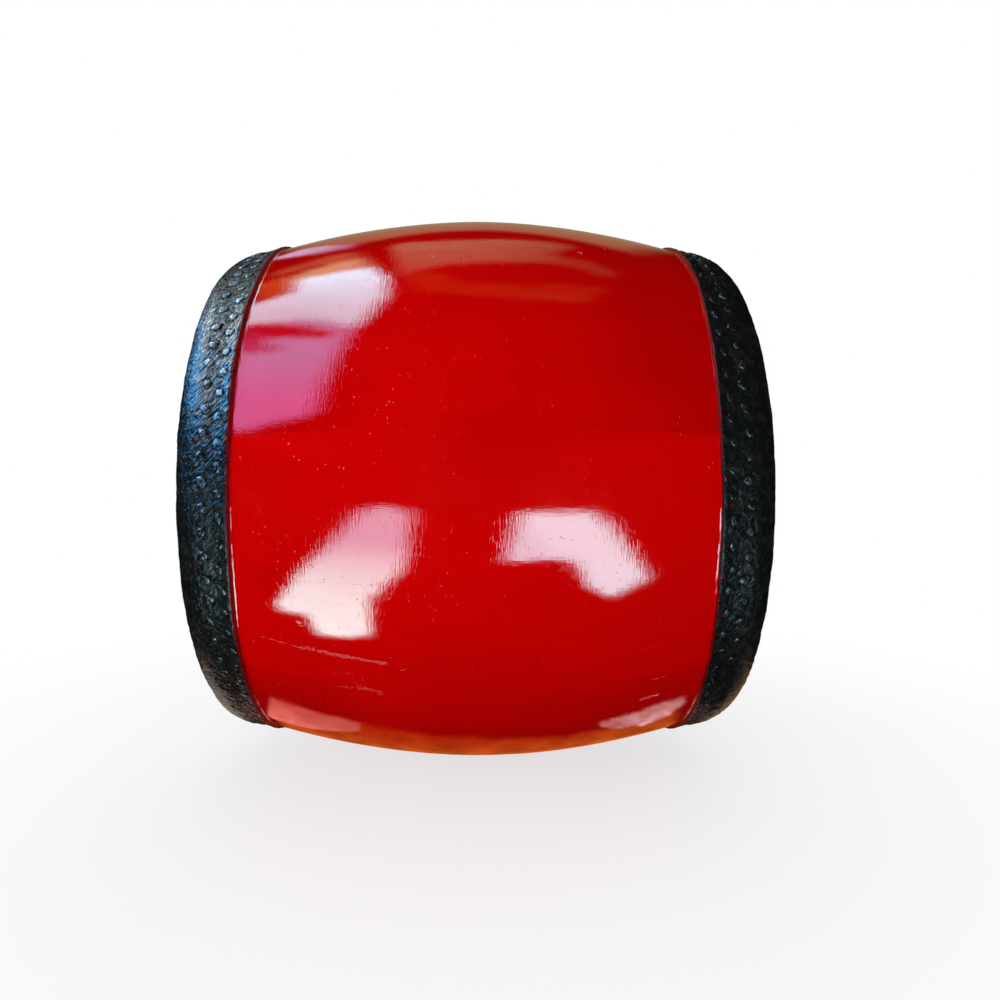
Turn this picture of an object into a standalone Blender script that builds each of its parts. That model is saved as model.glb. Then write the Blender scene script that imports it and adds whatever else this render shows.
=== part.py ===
"""A barrel drum lying on its belly, in metres, +Z up.

The drum's axis runs along X. The middle facet of the lowest stave lies on z = 0, and its centre is the
origin. Sixteen staves stand edge to edge round the axis on bamboo dowels, and a hide is stretched over each
end of the barrel, with its skirt held down by two staggered rows of bamboo pegs.
"""

from math import asin, cos, pi, radians, sin, sqrt, tau

import bmesh
import bpy
from mathutils import Matrix, Vector

# Barrel, whose radii are to the corners between its facets: the facets' middles lie 1.5 mm further in
BELLY_RADIUS = 0.2518  # outside of the barrel at its middle
END_RADIUS = 0.2150  # outside of the barrel at its ends, were the rim not rounded
STAVE_LENGTH = 0.427
STAVE_THICKNESS = 0.022  # at a stave's edges: its inner face is left flat
RIM_ROUND = 0.020  # rounded outer corner of the stave ends
GLUE_LINE = 0.0003  # gap between the edges of two staves
STAVES = 16
MIDDLE_FACET = radians(11.25)  # broad facet down the middle of a stave: the drum lies on the lowest one

# Dowels across the joints of the staves
DOWEL_RADIUS = 0.004
DOWEL_DEPTH = 0.015  # of its hole in each stave
DOWEL_OFFSET = 0.085  # from the middle of the barrel, along its axis
DOWEL_CLEARANCE = 0.0003

# Hides and the heads of their pegs
HIDE_THICKNESS = 0.0032
HIDE_CLEARANCE = 0.0005
EDGE_TO_FIRST_ROW = 0.0095
ROW_SPACING = 0.0115
SECOND_ROW_TO_STAVE_END = 0.0228
PEGS_IN_ROW = 80  # each has one facet of the hide's round to itself
PEG_HEAD_RADIUS = 0.0038
PEG_HEAD_HEIGHT = 0.0018
PEG_MARGIN = 0.0009  # flat hide on each side of a head, along the drum's axis

# Facets
BELLY_FACETS = 7  # along the barrel between its rims: odd, so the drum lies on the middle one
STAVE_RIM_FACETS = 3
HIDE_RIM_FACETS = 4
DOWEL_SIDES = 6
PEG_SIDES = 6
SMOOTH_ANGLE = radians(28)

# Colours of the lacquer, the painted hide and the bamboo
LACQUER_RED = (0.45, 0.003, 0.003)
HIDE_BLACK = (0.012, 0.012, 0.012)
BAMBOO = (0.52, 0.36, 0.17)

# Worked out from the driving dimensions
HALF_LENGTH = STAVE_LENGTH / 2
COLUMN_ANGLE = tau / PEGS_IN_ROW
STAVE_ANGLE = tau / STAVES
BELLY_FALL = BELLY_RADIUS - END_RADIUS
ARC_RADIUS = (HALF_LENGTH**2 + BELLY_FALL**2) / (2 * BELLY_FALL)
ARC_CENTRE = BELLY_RADIUS - ARC_RADIUS
RIM_X = HALF_LENGTH - RIM_ROUND
RIM_ANGLE = asin(RIM_X / (ARC_RADIUS - RIM_ROUND))  # where the belly's arc runs into the rim's
RIM_CENTRE = ARC_CENTRE + (ARC_RADIUS - RIM_ROUND) * cos(RIM_ANGLE)
SECOND_ROW = HALF_LENGTH - SECOND_ROW_TO_STAVE_END
FIRST_ROW = SECOND_ROW - ROW_SPACING
HIDE_EDGE = FIRST_ROW - EDGE_TO_FIRST_ROW
HIDE_OUTSIDE = HIDE_CLEARANCE + HIDE_THICKNESS
PEG_CELL = 2 * (PEG_HEAD_RADIUS * cos(pi / PEG_SIDES) + PEG_MARGIN)  # from ring to ring round a row
FIRST_FACET_RADIUS = ARC_CENTRE + ARC_RADIUS * cos(RIM_ANGLE / BELLY_FACETS)
AXIS_HEIGHT = FIRST_FACET_RADIUS * cos(MIDDLE_FACET / 2)


def clear_scene():
    """Removes whatever the file holds."""
    for item in list(bpy.data.objects):
        bpy.data.objects.remove(item, do_unlink=True)


def make_material(name, colour, roughness, coat=0.0):
    """A Principled material of one colour, with a clear coat on what is lacquered."""
    material = bpy.data.materials.new(name)
    material.use_nodes = True
    shader = material.node_tree.nodes["Principled BSDF"]
    shader.inputs["Base Color"].default_value = (*colour, 1.0)
    shader.inputs["Roughness"].default_value = roughness
    shader.inputs["Metallic"].default_value = 0.0
    shader.inputs["Coat Weight"].default_value = coat
    material.diffuse_color = (*colour, 1.0)
    return material


def make_mesh(name, shape, material=None):
    """Turns a closed bmesh into a mesh with outward faces, smooth but for its real edges."""
    bmesh.ops.recalc_face_normals(shape, faces=shape.faces)
    mesh = bpy.data.meshes.new(name)
    shape.to_mesh(mesh)
    shape.free()
    mesh.shade_smooth()
    mesh.set_sharp_from_angle(angle=SMOOTH_ANGLE)
    if material:
        mesh.materials.append(material)
    return mesh


def place(name, mesh, drum, location=(0.0, 0.0, 0.0), rotation=(0.0, 0.0, 0.0)):
    """Adds one named piece to the drum."""
    piece = bpy.data.objects.new(name, mesh)
    piece.parent = drum
    piece.location = location
    piece.rotation_euler = rotation
    bpy.context.collection.objects.link(piece)
    return piece


def around(x, radius, angle):
    """The point at a radius from the axis, at an angle from straight down towards +Y."""
    return Vector((x, radius * sin(angle), -radius * cos(angle)))


def belly_point(angle, outside):
    """(x, radius) on the belly's arc, at a distance outside the staves."""
    arc = ARC_RADIUS + outside
    return arc * sin(angle), ARC_CENTRE + arc * cos(angle)


def rim_points(facets, outside):
    """(x, radius) down the right rim's arc, from after the belly to the end plane."""
    step = (pi / 2 - RIM_ANGLE) / facets
    angles = [RIM_ANGLE + step * i for i in range(1, facets + 1)]
    arc = RIM_ROUND + outside
    return [(RIM_X + arc * sin(angle), RIM_CENTRE + arc * cos(angle)) for angle in angles]


def belly_points(outside):
    """(x, radius) of the corners between the belly's facets, from the left rim to the right."""
    step = 2 * RIM_ANGLE / BELLY_FACETS
    return [belly_point(step * i - RIM_ANGLE, outside) for i in range(BELLY_FACETS + 1)]


def radius_at(x, outside):
    """Radius at x of the surface that lies at a distance outside the staves."""
    if x <= (ARC_RADIUS + outside) * sin(RIM_ANGLE):
        return ARC_CENTRE + sqrt((ARC_RADIUS + outside) ** 2 - x**2)
    return RIM_CENTRE + sqrt((RIM_ROUND + outside) ** 2 - (x - RIM_X) ** 2)


def inner_radius_at(x):
    """Distance from the axis to the inner corners of a stave's edges."""
    return ARC_CENTRE + sqrt((ARC_RADIUS - STAVE_THICKNESS) ** 2 - x**2)


def stave_profile():
    """(x, radius) along a stave's outer face, from its left end to its right."""
    rim = rim_points(STAVE_RIM_FACETS, 0.0)
    left_rim = [(-x, radius) for x, radius in reversed(rim)]
    return left_rim + belly_points(0.0) + rim


def stave_outline(x, radius):
    """A stave's outline across its length: three facets outside, one flat face inside."""
    inner = inner_radius_at(x)
    edge = STAVE_ANGLE / 2 - asin(GLUE_LINE / 2 / radius)
    inner_edge = STAVE_ANGLE / 2 - asin(GLUE_LINE / 2 / inner)
    corner = MIDDLE_FACET / 2
    outer = [around(x, radius, angle) for angle in (-edge, -corner, corner, edge)]
    return outer + [around(x, inner, inner_edge), around(x, inner, -inner_edge)]


def make_stave_mesh(material):
    """The lowest stave: its outline at each corner of the profile, joined up and capped."""
    shape = bmesh.new()
    outlines = []
    for x, radius in stave_profile():
        outlines.append([shape.verts.new(point) for point in stave_outline(x, radius)])
    for left, right in zip(outlines, outlines[1:]):
        for i, corner in enumerate(left):
            shape.faces.new((left[i - 1], corner, right[i], right[i - 1]))
    shape.faces.new(outlines[0])
    shape.faces.new(outlines[-1])
    return make_mesh("stave", shape, material)


def joint_angle(joint):
    """Angle of a joint's plane round the axis: joint 0 is between the lowest stave and the next."""
    return STAVE_ANGLE * (joint + 0.5)


def dowel_places():
    """(joint, side, location, turn) of each dowel: its middle, half way through the wood, and its turn."""
    distance = radius_at(DOWEL_OFFSET, 0.0) - STAVE_THICKNESS / 2
    places = []
    for joint in range(STAVES):
        angle = joint_angle(joint)
        for side, x in (("left", -DOWEL_OFFSET), ("right", DOWEL_OFFSET)):
            places.append((joint, side, around(x, distance, angle), angle))
    return places


def add_prism(shape, radius, length, location=(0.0, 0.0, 0.0), turn=0.0):
    """Adds a dowel's prism along Y to a bmesh, then turns it about X and moves it."""
    lie_down = Matrix.Rotation(pi / 2, 4, "X")
    matrix = Matrix.Translation(location) @ Matrix.Rotation(turn, 4, "X") @ lie_down
    bmesh.ops.create_cone(
        shape,
        cap_ends=True,
        segments=DOWEL_SIDES,
        radius1=radius,
        radius2=radius,
        depth=length,
        matrix=matrix,
    )


def hole_length():
    """From the bottom of a dowel's hole in one stave to the bottom of its hole in the next."""
    return 2 * DOWEL_DEPTH + GLUE_LINE


def make_hole_cutter(drum):
    """Every dowel hole as one cutter, across the joints of the staves."""
    shape = bmesh.new()
    for _, _, location, turn in dowel_places():
        add_prism(shape, DOWEL_RADIUS + DOWEL_CLEARANCE, hole_length(), location, turn)
    cutter = place("dowel_hole_cutter", make_mesh("dowel_holes", shape), drum)
    cutter.hide_render = True
    cutter.display_type = "WIRE"
    return cutter


def add_staves(drum, material):
    """The barrel: sixteen staves of one shape, each turned to its place and bored for its dowels."""
    mesh = make_stave_mesh(material)
    cutter = make_hole_cutter(drum)
    for i in range(STAVES):
        stave = place(f"stave_{i + 1:02d}", mesh, drum, rotation=(STAVE_ANGLE * i, 0.0, 0.0))
        bore = stave.modifiers.new("dowel_holes", "BOOLEAN")
        bore.operation = "DIFFERENCE"
        bore.solver = "EXACT"
        bore.object = cutter


def add_dowels(drum, material):
    """Two dowels in each joint, loose in their holes by the clearance."""
    shape = bmesh.new()
    add_prism(shape, DOWEL_RADIUS, hole_length() - 2 * DOWEL_CLEARANCE)
    mesh = make_mesh("dowel", shape, material)
    for joint, side, location, turn in dowel_places():
        place(f"dowel_{joint + 1:02d}_{side}", mesh, drum, location, (turn, 0.0, 0.0))


def add_ring(shape, x, radius, shift=0.0):
    """Adds a ring of corners round the axis, a peg's facet apart and turned by shift facets."""
    angles = [COLUMN_ANGLE * (i + 0.5 + shift) for i in range(PEGS_IN_ROW)]
    return [shape.verts.new(around(x, radius, angle)) for angle in angles]


def ring_cells(ring, following):
    """The four corners of each cell between two rings, anticlockwise seen from outside the right hide."""
    cells = []
    for i in range(PEGS_IN_ROW):
        after = (i + 1) % PEGS_IN_ROW
        cells.append((ring[i], ring[after], following[after], following[i]))
    return cells


def join_rings(shape, ring, following):
    """Joins two rings by flat cells."""
    for cell in ring_cells(ring, following):
        shape.faces.new(cell)


def join_turned_rings(shape, ring, following):
    """Joins a ring to one that is turned by half a facet, by triangles."""
    for low, low_next, high_next, high in ring_cells(ring, following):
        shape.faces.new((low, low_next, high))
        shape.faces.new((high, low_next, high_next))


def add_peg_heads(shape, ring, following):
    """Joins two rings by cells with a low six-sided peg head in the middle of each."""
    for cell in ring_cells(ring, following):
        low_left, low_right, high_right, high_left = cell
        corners = [corner.co for corner in cell]
        middle = sum(corners, Vector()) / 4
        along = (corners[1] + corners[2] - corners[0] - corners[3]).normalized()
        across = (corners[2] + corners[3] - corners[0] - corners[1]).normalized()
        angles = [tau / PEG_SIDES * i for i in range(PEG_SIDES)]
        spokes = [along * cos(angle) + across * sin(angle) for angle in angles]
        rim = [shape.verts.new(middle + spoke * PEG_HEAD_RADIUS) for spoke in spokes]
        top = shape.verts.new(middle + along.cross(across) * PEG_HEAD_HEIGHT)
        for i, corner in enumerate(rim):
            shape.faces.new((rim[i - 1], corner, top))
        right, high_first, high_second, left, low_first, low_second = rim
        shape.faces.new((low_right, high_right, right))
        shape.faces.new((high_right, high_first, right))
        shape.faces.new((high_right, high_left, high_second, high_first))
        shape.faces.new((high_left, left, high_second))
        shape.faces.new((high_left, low_left, left))
        shape.faces.new((low_left, low_first, left))
        shape.faces.new((low_left, low_right, low_second, low_first))
        shape.faces.new((low_right, right, low_second))


def add_hide_outside(shape):
    """The outside of the right hide: edge, two peg rows, rim and striking face. Gives its edge ring."""

    def ring_at(x, shift):
        return add_ring(shape, x, radius_at(x, HIDE_OUTSIDE), shift)

    edge = ring_at(HIDE_EDGE, 0.0)
    first_low = ring_at(FIRST_ROW - PEG_CELL / 2, 0.0)
    first_high = ring_at(FIRST_ROW + PEG_CELL / 2, 0.0)
    second_low = ring_at(SECOND_ROW - PEG_CELL / 2, 0.5)
    second_high = ring_at(SECOND_ROW + PEG_CELL / 2, 0.5)
    join_rings(shape, edge, first_low)
    add_peg_heads(shape, first_low, first_high)
    join_turned_rings(shape, first_high, second_low)
    add_peg_heads(shape, second_low, second_high)
    profile = [belly_point(RIM_ANGLE, HIDE_OUTSIDE)] + rim_points(HIDE_RIM_FACETS, HIDE_OUTSIDE)
    last = second_high
    for x, radius in profile:
        if x > SECOND_ROW + PEG_CELL / 2 + PEG_MARGIN:
            following = add_ring(shape, x, radius, 0.5)
            join_rings(shape, last, following)
            last = following
    shape.faces.new(last)
    return edge


def add_hide_inside(shape):
    """The inside of the right hide, which follows the staves' facets. Gives its edge ring."""
    edge = add_ring(shape, HIDE_EDGE, radius_at(HIDE_EDGE, HIDE_CLEARANCE))
    profile = belly_points(HIDE_CLEARANCE) + rim_points(STAVE_RIM_FACETS, HIDE_CLEARANCE)
    last = edge
    for x, radius in profile:
        if x > HIDE_EDGE + PEG_MARGIN:
            following = add_ring(shape, x, radius)
            join_rings(shape, last, following)
            last = following
    shape.faces.new(last)
    return edge


def add_hides(drum, material):
    """The two drumheads: the left one is the right one turned half round."""
    shape = bmesh.new()
    join_rings(shape, add_hide_inside(shape), add_hide_outside(shape))
    mesh = make_mesh("drumhead", shape, material)
    place("drumhead_left", mesh, drum, rotation=(0.0, 0.0, pi))
    place("drumhead_right", mesh, drum)


def main():
    """Builds the drum on an empty at the middle of its axis."""
    clear_scene()
    drum = bpy.data.objects.new("drum_axis", None)
    drum.location = (0.0, 0.0, AXIS_HEIGHT)
    bpy.context.collection.objects.link(drum)
    add_staves(drum, make_material("red_lacquer", LACQUER_RED, 0.35, coat=1.0))
    add_dowels(drum, make_material("bamboo", BAMBOO, 0.6))
    add_hides(drum, make_material("black_painted_hide", HIDE_BLACK, 0.4, coat=0.4))
    bpy.context.view_layer.update()


main()
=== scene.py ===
"""The looks of a red lacquered barrel drum that lies on its belly.

Lengths are in metres and +Z is up. The drum's axis runs along X, and an angle round it is counted from
straight down towards +Y, so the front of the drum is at -90 degrees.
"""

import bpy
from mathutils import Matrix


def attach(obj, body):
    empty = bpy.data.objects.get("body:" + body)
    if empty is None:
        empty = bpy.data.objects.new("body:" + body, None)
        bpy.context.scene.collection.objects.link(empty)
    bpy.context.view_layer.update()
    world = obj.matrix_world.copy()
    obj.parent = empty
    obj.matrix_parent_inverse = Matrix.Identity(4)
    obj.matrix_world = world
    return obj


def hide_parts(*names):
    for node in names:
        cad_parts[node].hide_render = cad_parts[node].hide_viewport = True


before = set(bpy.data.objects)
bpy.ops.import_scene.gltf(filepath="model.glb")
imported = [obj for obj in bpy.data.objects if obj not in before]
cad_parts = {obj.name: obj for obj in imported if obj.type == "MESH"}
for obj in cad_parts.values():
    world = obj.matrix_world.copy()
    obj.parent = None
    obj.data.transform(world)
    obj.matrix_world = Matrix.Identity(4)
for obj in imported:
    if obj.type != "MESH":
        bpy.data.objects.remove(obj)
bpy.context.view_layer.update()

import logging
from dataclasses import dataclass, field
from enum import Enum
from math import pi, radians, tau

import bpy
import numpy as np
from mathutils import Vector

BODY = "root"
GLOSS_IOR = 1.5
Pair = tuple[float, float]
Point = tuple[float, float, float]
Colour = tuple[float, float, float]
Rings = tuple[np.ndarray, np.ndarray]
Socket = bpy.types.NodeSocket
log = logging.getLogger("barrel drum")


class Side(Enum):
    """An end of the drum, by the sign of its X."""

    LEFT = -1
    RIGHT = 1

    @property
    def word(self) -> str:
        """The side's name in a piece's name."""
        return self.name.lower()

    @property
    def number(self) -> int:
        """The side's place in a pair of sizes for the left end and the right."""
        return 0 if self is Side.LEFT else 1


class Stretch(Enum):
    """Which way a fine pattern is drawn out on the barrel, as scales of its X and of its Y and Z."""

    EVEN = (1.0, 1.0)
    ROUND_THE_DRUM = (1.0, 0.10)
    ALONG_THE_DRUM = (0.10, 1.0)


def smooth_step(value: np.ndarray, low: float, high: float) -> np.ndarray:
    """Rises from 0 at low to 1 at high as 3t^2 - 2t^3, with t the share of the way between them."""
    share = np.clip((value - low) / (high - low), 0.0, 1.0)
    return share * share * (3.0 - 2.0 * share)


def bump(distance: np.ndarray, width: float) -> np.ndarray:
    """A bell of height 1 round distance 0: e to the minus (distance / width) squared."""
    return np.exp(-((distance / width) ** 2))


@dataclass(frozen=True)
class RandomHills:
    """Smooth random hills on the drum's skin, the same on every run."""

    around: int
    length: float
    height: float
    seed: int
    slant: float = 0.0
    rows: int = 997
    first_row: float = 500.0
    sharpness: float = 3.0

    def blend(self, x: np.ndarray, angle: np.ndarray) -> np.ndarray:
        """Random numbers at the corners of a net round the axis, blended between its corners.

        The net has as many cells round the axis as the hills, and closes on itself. Inside a cell the four
        corners' numbers are mixed by 3t^2 - 2t^3 of the way across it, both ways. The slant turns the net
        round the axis as x grows.

        Args:
            x: Places along the axis.
            angle: Angles round it.

        Returns:
            Numbers from -1 to 1.
        """
        corners = np.random.default_rng(self.seed).uniform(-1.0, 1.0, (self.around, self.rows))
        across = (angle + self.slant * x) / tau * self.around
        along = x / self.length + self.first_row
        column, row = np.floor(across).astype(int), np.floor(along).astype(int)
        s, t = smooth_step(across - column, 0.0, 1.0), smooth_step(along - row, 0.0, 1.0)
        left, right = column % self.around, (column + 1) % self.around
        near, far = (
            corners[left, at % self.rows] * (1.0 - s) + corners[right, at % self.rows] * s for at in (row, row + 1)
        )
        return near * (1.0 - t) + far * t

    def hills(self, x: np.ndarray, angle: np.ndarray) -> np.ndarray:
        """Heights of the hills: the blend times their height."""
        return self.height * self.blend(x, angle)

    def ridges(self, x: np.ndarray, angle: np.ndarray) -> np.ndarray:
        """Heights of sharp ridges: where the blend crosses 0 the skin stands up to the full height."""
        return self.height * (1.0 - self.sharpness * np.abs(self.blend(x, angle)))


def make_piece(
    name: str, points: np.ndarray, faces: list[np.ndarray], material: bpy.types.Material
) -> bpy.types.Object:
    """Makes a smooth mesh object at the origin.

    Args:
        name: The piece's name.
        points: Corners, in rows of three.
        faces: Arrays of faces, each with one number of corners to a face.
        material: What the piece is made of.

    Returns:
        The new object, linked to the scene.
    """
    mesh = bpy.data.meshes.new(name)
    corners = np.concatenate([face.ravel() for face in faces]).astype(np.int32)
    sizes = np.concatenate([np.full(len(face), face.shape[1]) for face in faces])
    starts = np.concatenate([[0], np.cumsum(sizes)[:-1]]).astype(np.int32)
    mesh.vertices.add(len(points))
    mesh.vertices.foreach_set("co", points.astype(np.float32).ravel())
    mesh.loops.add(len(corners))
    mesh.loops.foreach_set("vertex_index", corners)
    mesh.polygons.add(len(starts))
    mesh.polygons.foreach_set("loop_start", starts)
    mesh.update(calc_edges=True)
    mesh.validate()
    mesh.shade_smooth()
    mesh.materials.append(material)
    piece = bpy.data.objects.new(name, mesh)
    bpy.context.scene.collection.objects.link(piece)
    return piece


def ring_faces(rows: int, columns: int, closed: bool, flip: bool) -> np.ndarray:
    """Faces of four corners between rings of corners that lie row after row.

    Args:
        rows: Number of rings.
        columns: Corners in each ring.
        closed: Whether the last ring joins the first.
        flip: Whether the faces look the other way.

    Returns:
        The faces.
    """
    row = np.arange(rows if closed else rows - 1)[:, None] * columns
    column = np.arange(columns)[None, :]
    after, above = (column + 1) % columns, (row + columns) % (rows * columns)
    faces = np.stack([row + column, row + after, above + after, above + column], axis=-1).reshape(-1, 4)
    return faces[:, ::-1] if flip else faces


def pole_faces(pole: int, first: int, columns: int, flip: bool) -> np.ndarray:
    """Triangles from a ring of corners to a single corner.

    Args:
        pole: Index of the single corner.
        first: Index of the ring's first corner.
        columns: Corners in the ring.
        flip: Whether the faces look the other way.

    Returns:
        The triangles, with the single corner last, or first where they are flipped.
    """
    column = np.arange(columns)
    faces = np.stack([first + column, first + (column + 1) % columns, np.full(columns, pole)], axis=-1)
    return faces[:, ::-1] if flip else faces


def bead_faces(count: int, rings: int, columns: int, flip: bool) -> list[np.ndarray]:
    """Faces of many small closed beads: one bead's faces, repeated with a step of its corners.

    The beads' rings come first, bead after bead, and then each bead's low and high pole.

    Args:
        count: Number of beads.
        rings: Rings in each.
        columns: Corners in each ring.
        flip: Whether the faces look the other way.

    Returns:
        Faces of four corners and faces of three.
    """
    size = rings * columns
    step = size * np.arange(count)[:, None, None]
    pole = count * size + 2 * np.arange(count)[:, None]
    quads = ring_faces(rings, columns, closed=False, flip=flip)[None] + step
    low = pole_faces(0, 0, columns, flip=not flip)[None] + step
    high = pole_faces(0, size - columns, columns, flip=flip)[None] + step
    low[:, :, 2 if flip else 0] = pole
    high[:, :, 0 if flip else 2] = pole + 1
    return [quads.reshape(-1, 4), low.reshape(-1, 3), high.reshape(-1, 3)]


@dataclass(frozen=True)
class DrumShape:
    """The outline that goes round the drum's axis, shared by the barrel, the hides and the pegs."""

    axis_height: float = 0.24993
    belly_radius: float = 0.2499
    belly_fall: float = 0.0365
    fall_length: float = 0.2135
    fall_power: float = 1.9
    hide_edge: float = 0.1692
    hide_thickness: float = 0.0030
    hide_gap: float = 0.0003
    stave_thickness: float = 0.022
    cut_back: Pair = (0.0030, 0.0012)
    cut_above: Pair = (-0.0012, 0.0020)
    above_cosines: Pair = (0.2, 0.8)
    cut_below: float = 0.0060
    below_cosines: Pair = (0.10, 0.95)
    cut_fades: float = 0.035
    edge_wave: RandomHills = RandomHills(29, 1.0, 0.0006, 11)
    edge_tatter: RandomHills = RandomHills(310, 1.0, 0.00022, 12)
    edge_turn: float = 1.7
    path_points: int = 4001
    skirt_points: int = 3200
    hide_outline: tuple[Pair, ...] = (
        (0.1692, 0.22965),
        (0.1740, 0.2275),
        (0.1833, 0.2242),
        (0.1915, 0.2229),
        (0.1974, 0.2213),
        (0.2030, 0.2186),
        (0.2075, 0.2153),
        (0.2120, 0.2106),
        (0.2150, 0.2048),
        (0.2164, 0.1980),
        (0.2169, 0.1900),
        (0.2170, 0.1500),
        (0.2170, 0.0600),
        (0.2170, 0.0),
    )

    @property
    def under_hide(self) -> float:
        """How far the wood lies under the hide's path: below 0, by the hide's thickness and a gap."""
        return -self.hide_thickness - self.hide_gap

    def belly(self, x: np.ndarray) -> np.ndarray:
        """Radius of the barrel: the belly's radius less a fall that grows as a power of the distance."""
        return self.belly_radius - self.belly_fall * np.abs(x / self.fall_length) ** self.fall_power

    def place(self, x: np.ndarray, radius: np.ndarray, angle: np.ndarray) -> np.ndarray:
        """Points at (x, radius, angle): Y is radius times sine, Z is the axis less radius times cosine."""
        x, radius, angle = np.broadcast_arrays(x, radius, angle)
        return np.stack([x, radius * np.sin(angle), self.axis_height - radius * np.cos(angle)], axis=-1)

    def low_cut(self, angle: np.ndarray) -> np.ndarray:
        """How much more of the skirt is cut away towards the floor: 3t^2 - 2t^3 of the angle's cosine."""
        return self.cut_below * smooth_step(np.cos(angle), *self.below_cosines)

    def cut(self, side: Side, angle: np.ndarray) -> np.ndarray:
        """Length of skirt cut away at an end, a little there all round and more towards the floor."""
        above = self.cut_above[side.number] * smooth_step(-np.cos(angle), *self.above_cosines)
        return self.cut_back[side.number] + above + self.low_cut(angle)

    def kept(self, length: np.ndarray, side: Side, angle: np.ndarray) -> np.ndarray:
        """Lengths along the whole skirt, moved on by the cut at its edge and by less and less after it."""
        return length + self.cut(side, angle) * smooth_step(length, self.cut_fades, 0.0)

    def wave(self, side: Side, angle: np.ndarray) -> np.ndarray:
        """How far the hide's cut edge wanders along the axis, in long waves and short tatters."""
        turn = angle + self.edge_turn * side.value
        return self.edge_wave.hills(0.0, turn) + self.edge_tatter.hills(0.0, turn)

    def edge(self, side: Side, angle: np.ndarray) -> np.ndarray:
        """Distance of the hide's cut edge from the drum's middle."""
        return self.hide_at(self.cut(side, angle))[0] + self.wave(side, angle)

    def hide_path(self) -> tuple[np.ndarray, ...]:
        """The hide's outside from its cut edge to the middle of its head.

        A curve goes through the outline's points: between two of them it is a cubic whose slopes come from
        the points on both sides, by their distances along the outline. The outward direction is the curve's
        own direction turned by a right angle.

        Returns:
            Lengths along the path, and there x, the radius, and the outward direction's x and radius.
        """
        knots = np.array(self.hide_outline)
        steps = np.hypot(*np.diff(knots, axis=0).T)
        at = np.concatenate([[0.0], np.cumsum(steps)])
        slopes = np.gradient(knots, at, axis=0)
        length = np.linspace(0.0, at[-1], self.path_points)
        cell = np.clip(np.searchsorted(at, length, side="right") - 1, 0, len(steps) - 1)
        step = steps[cell][:, None]
        t = (length - at[cell])[:, None] / step
        points = (
            (2 * t**3 - 3 * t**2 + 1) * knots[cell]
            + (t**3 - 2 * t**2 + t) * step * slopes[cell]
            + (3 * t**2 - 2 * t**3) * knots[cell + 1]
            + (t**3 - t**2) * step * slopes[cell + 1]
        )
        along = np.gradient(points, length, axis=0)
        along /= np.linalg.norm(along, axis=1)[:, None]
        return length, points[:, 0], points[:, 1], -along[:, 1], along[:, 0]

    def hide_at(self, length: np.ndarray, rise: np.ndarray | float = 0.0) -> Rings:
        """(x, radius) of points that stand a rise outside the hide's path, at lengths from its cut edge."""
        at, x, radius, out_x, out_radius = self.hide_path()
        return (
            np.interp(length, at, x) + rise * np.interp(length, at, out_x),
            np.interp(length, at, radius) + rise * np.interp(length, at, out_radius),
        )

    def hide_length(self, x: np.ndarray) -> np.ndarray:
        """Length along the hide's path at which its skirt passes x."""
        at, path_x = (values[: self.skirt_points] for values in self.hide_path()[:2])
        return np.interp(x, path_x, at)


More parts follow.
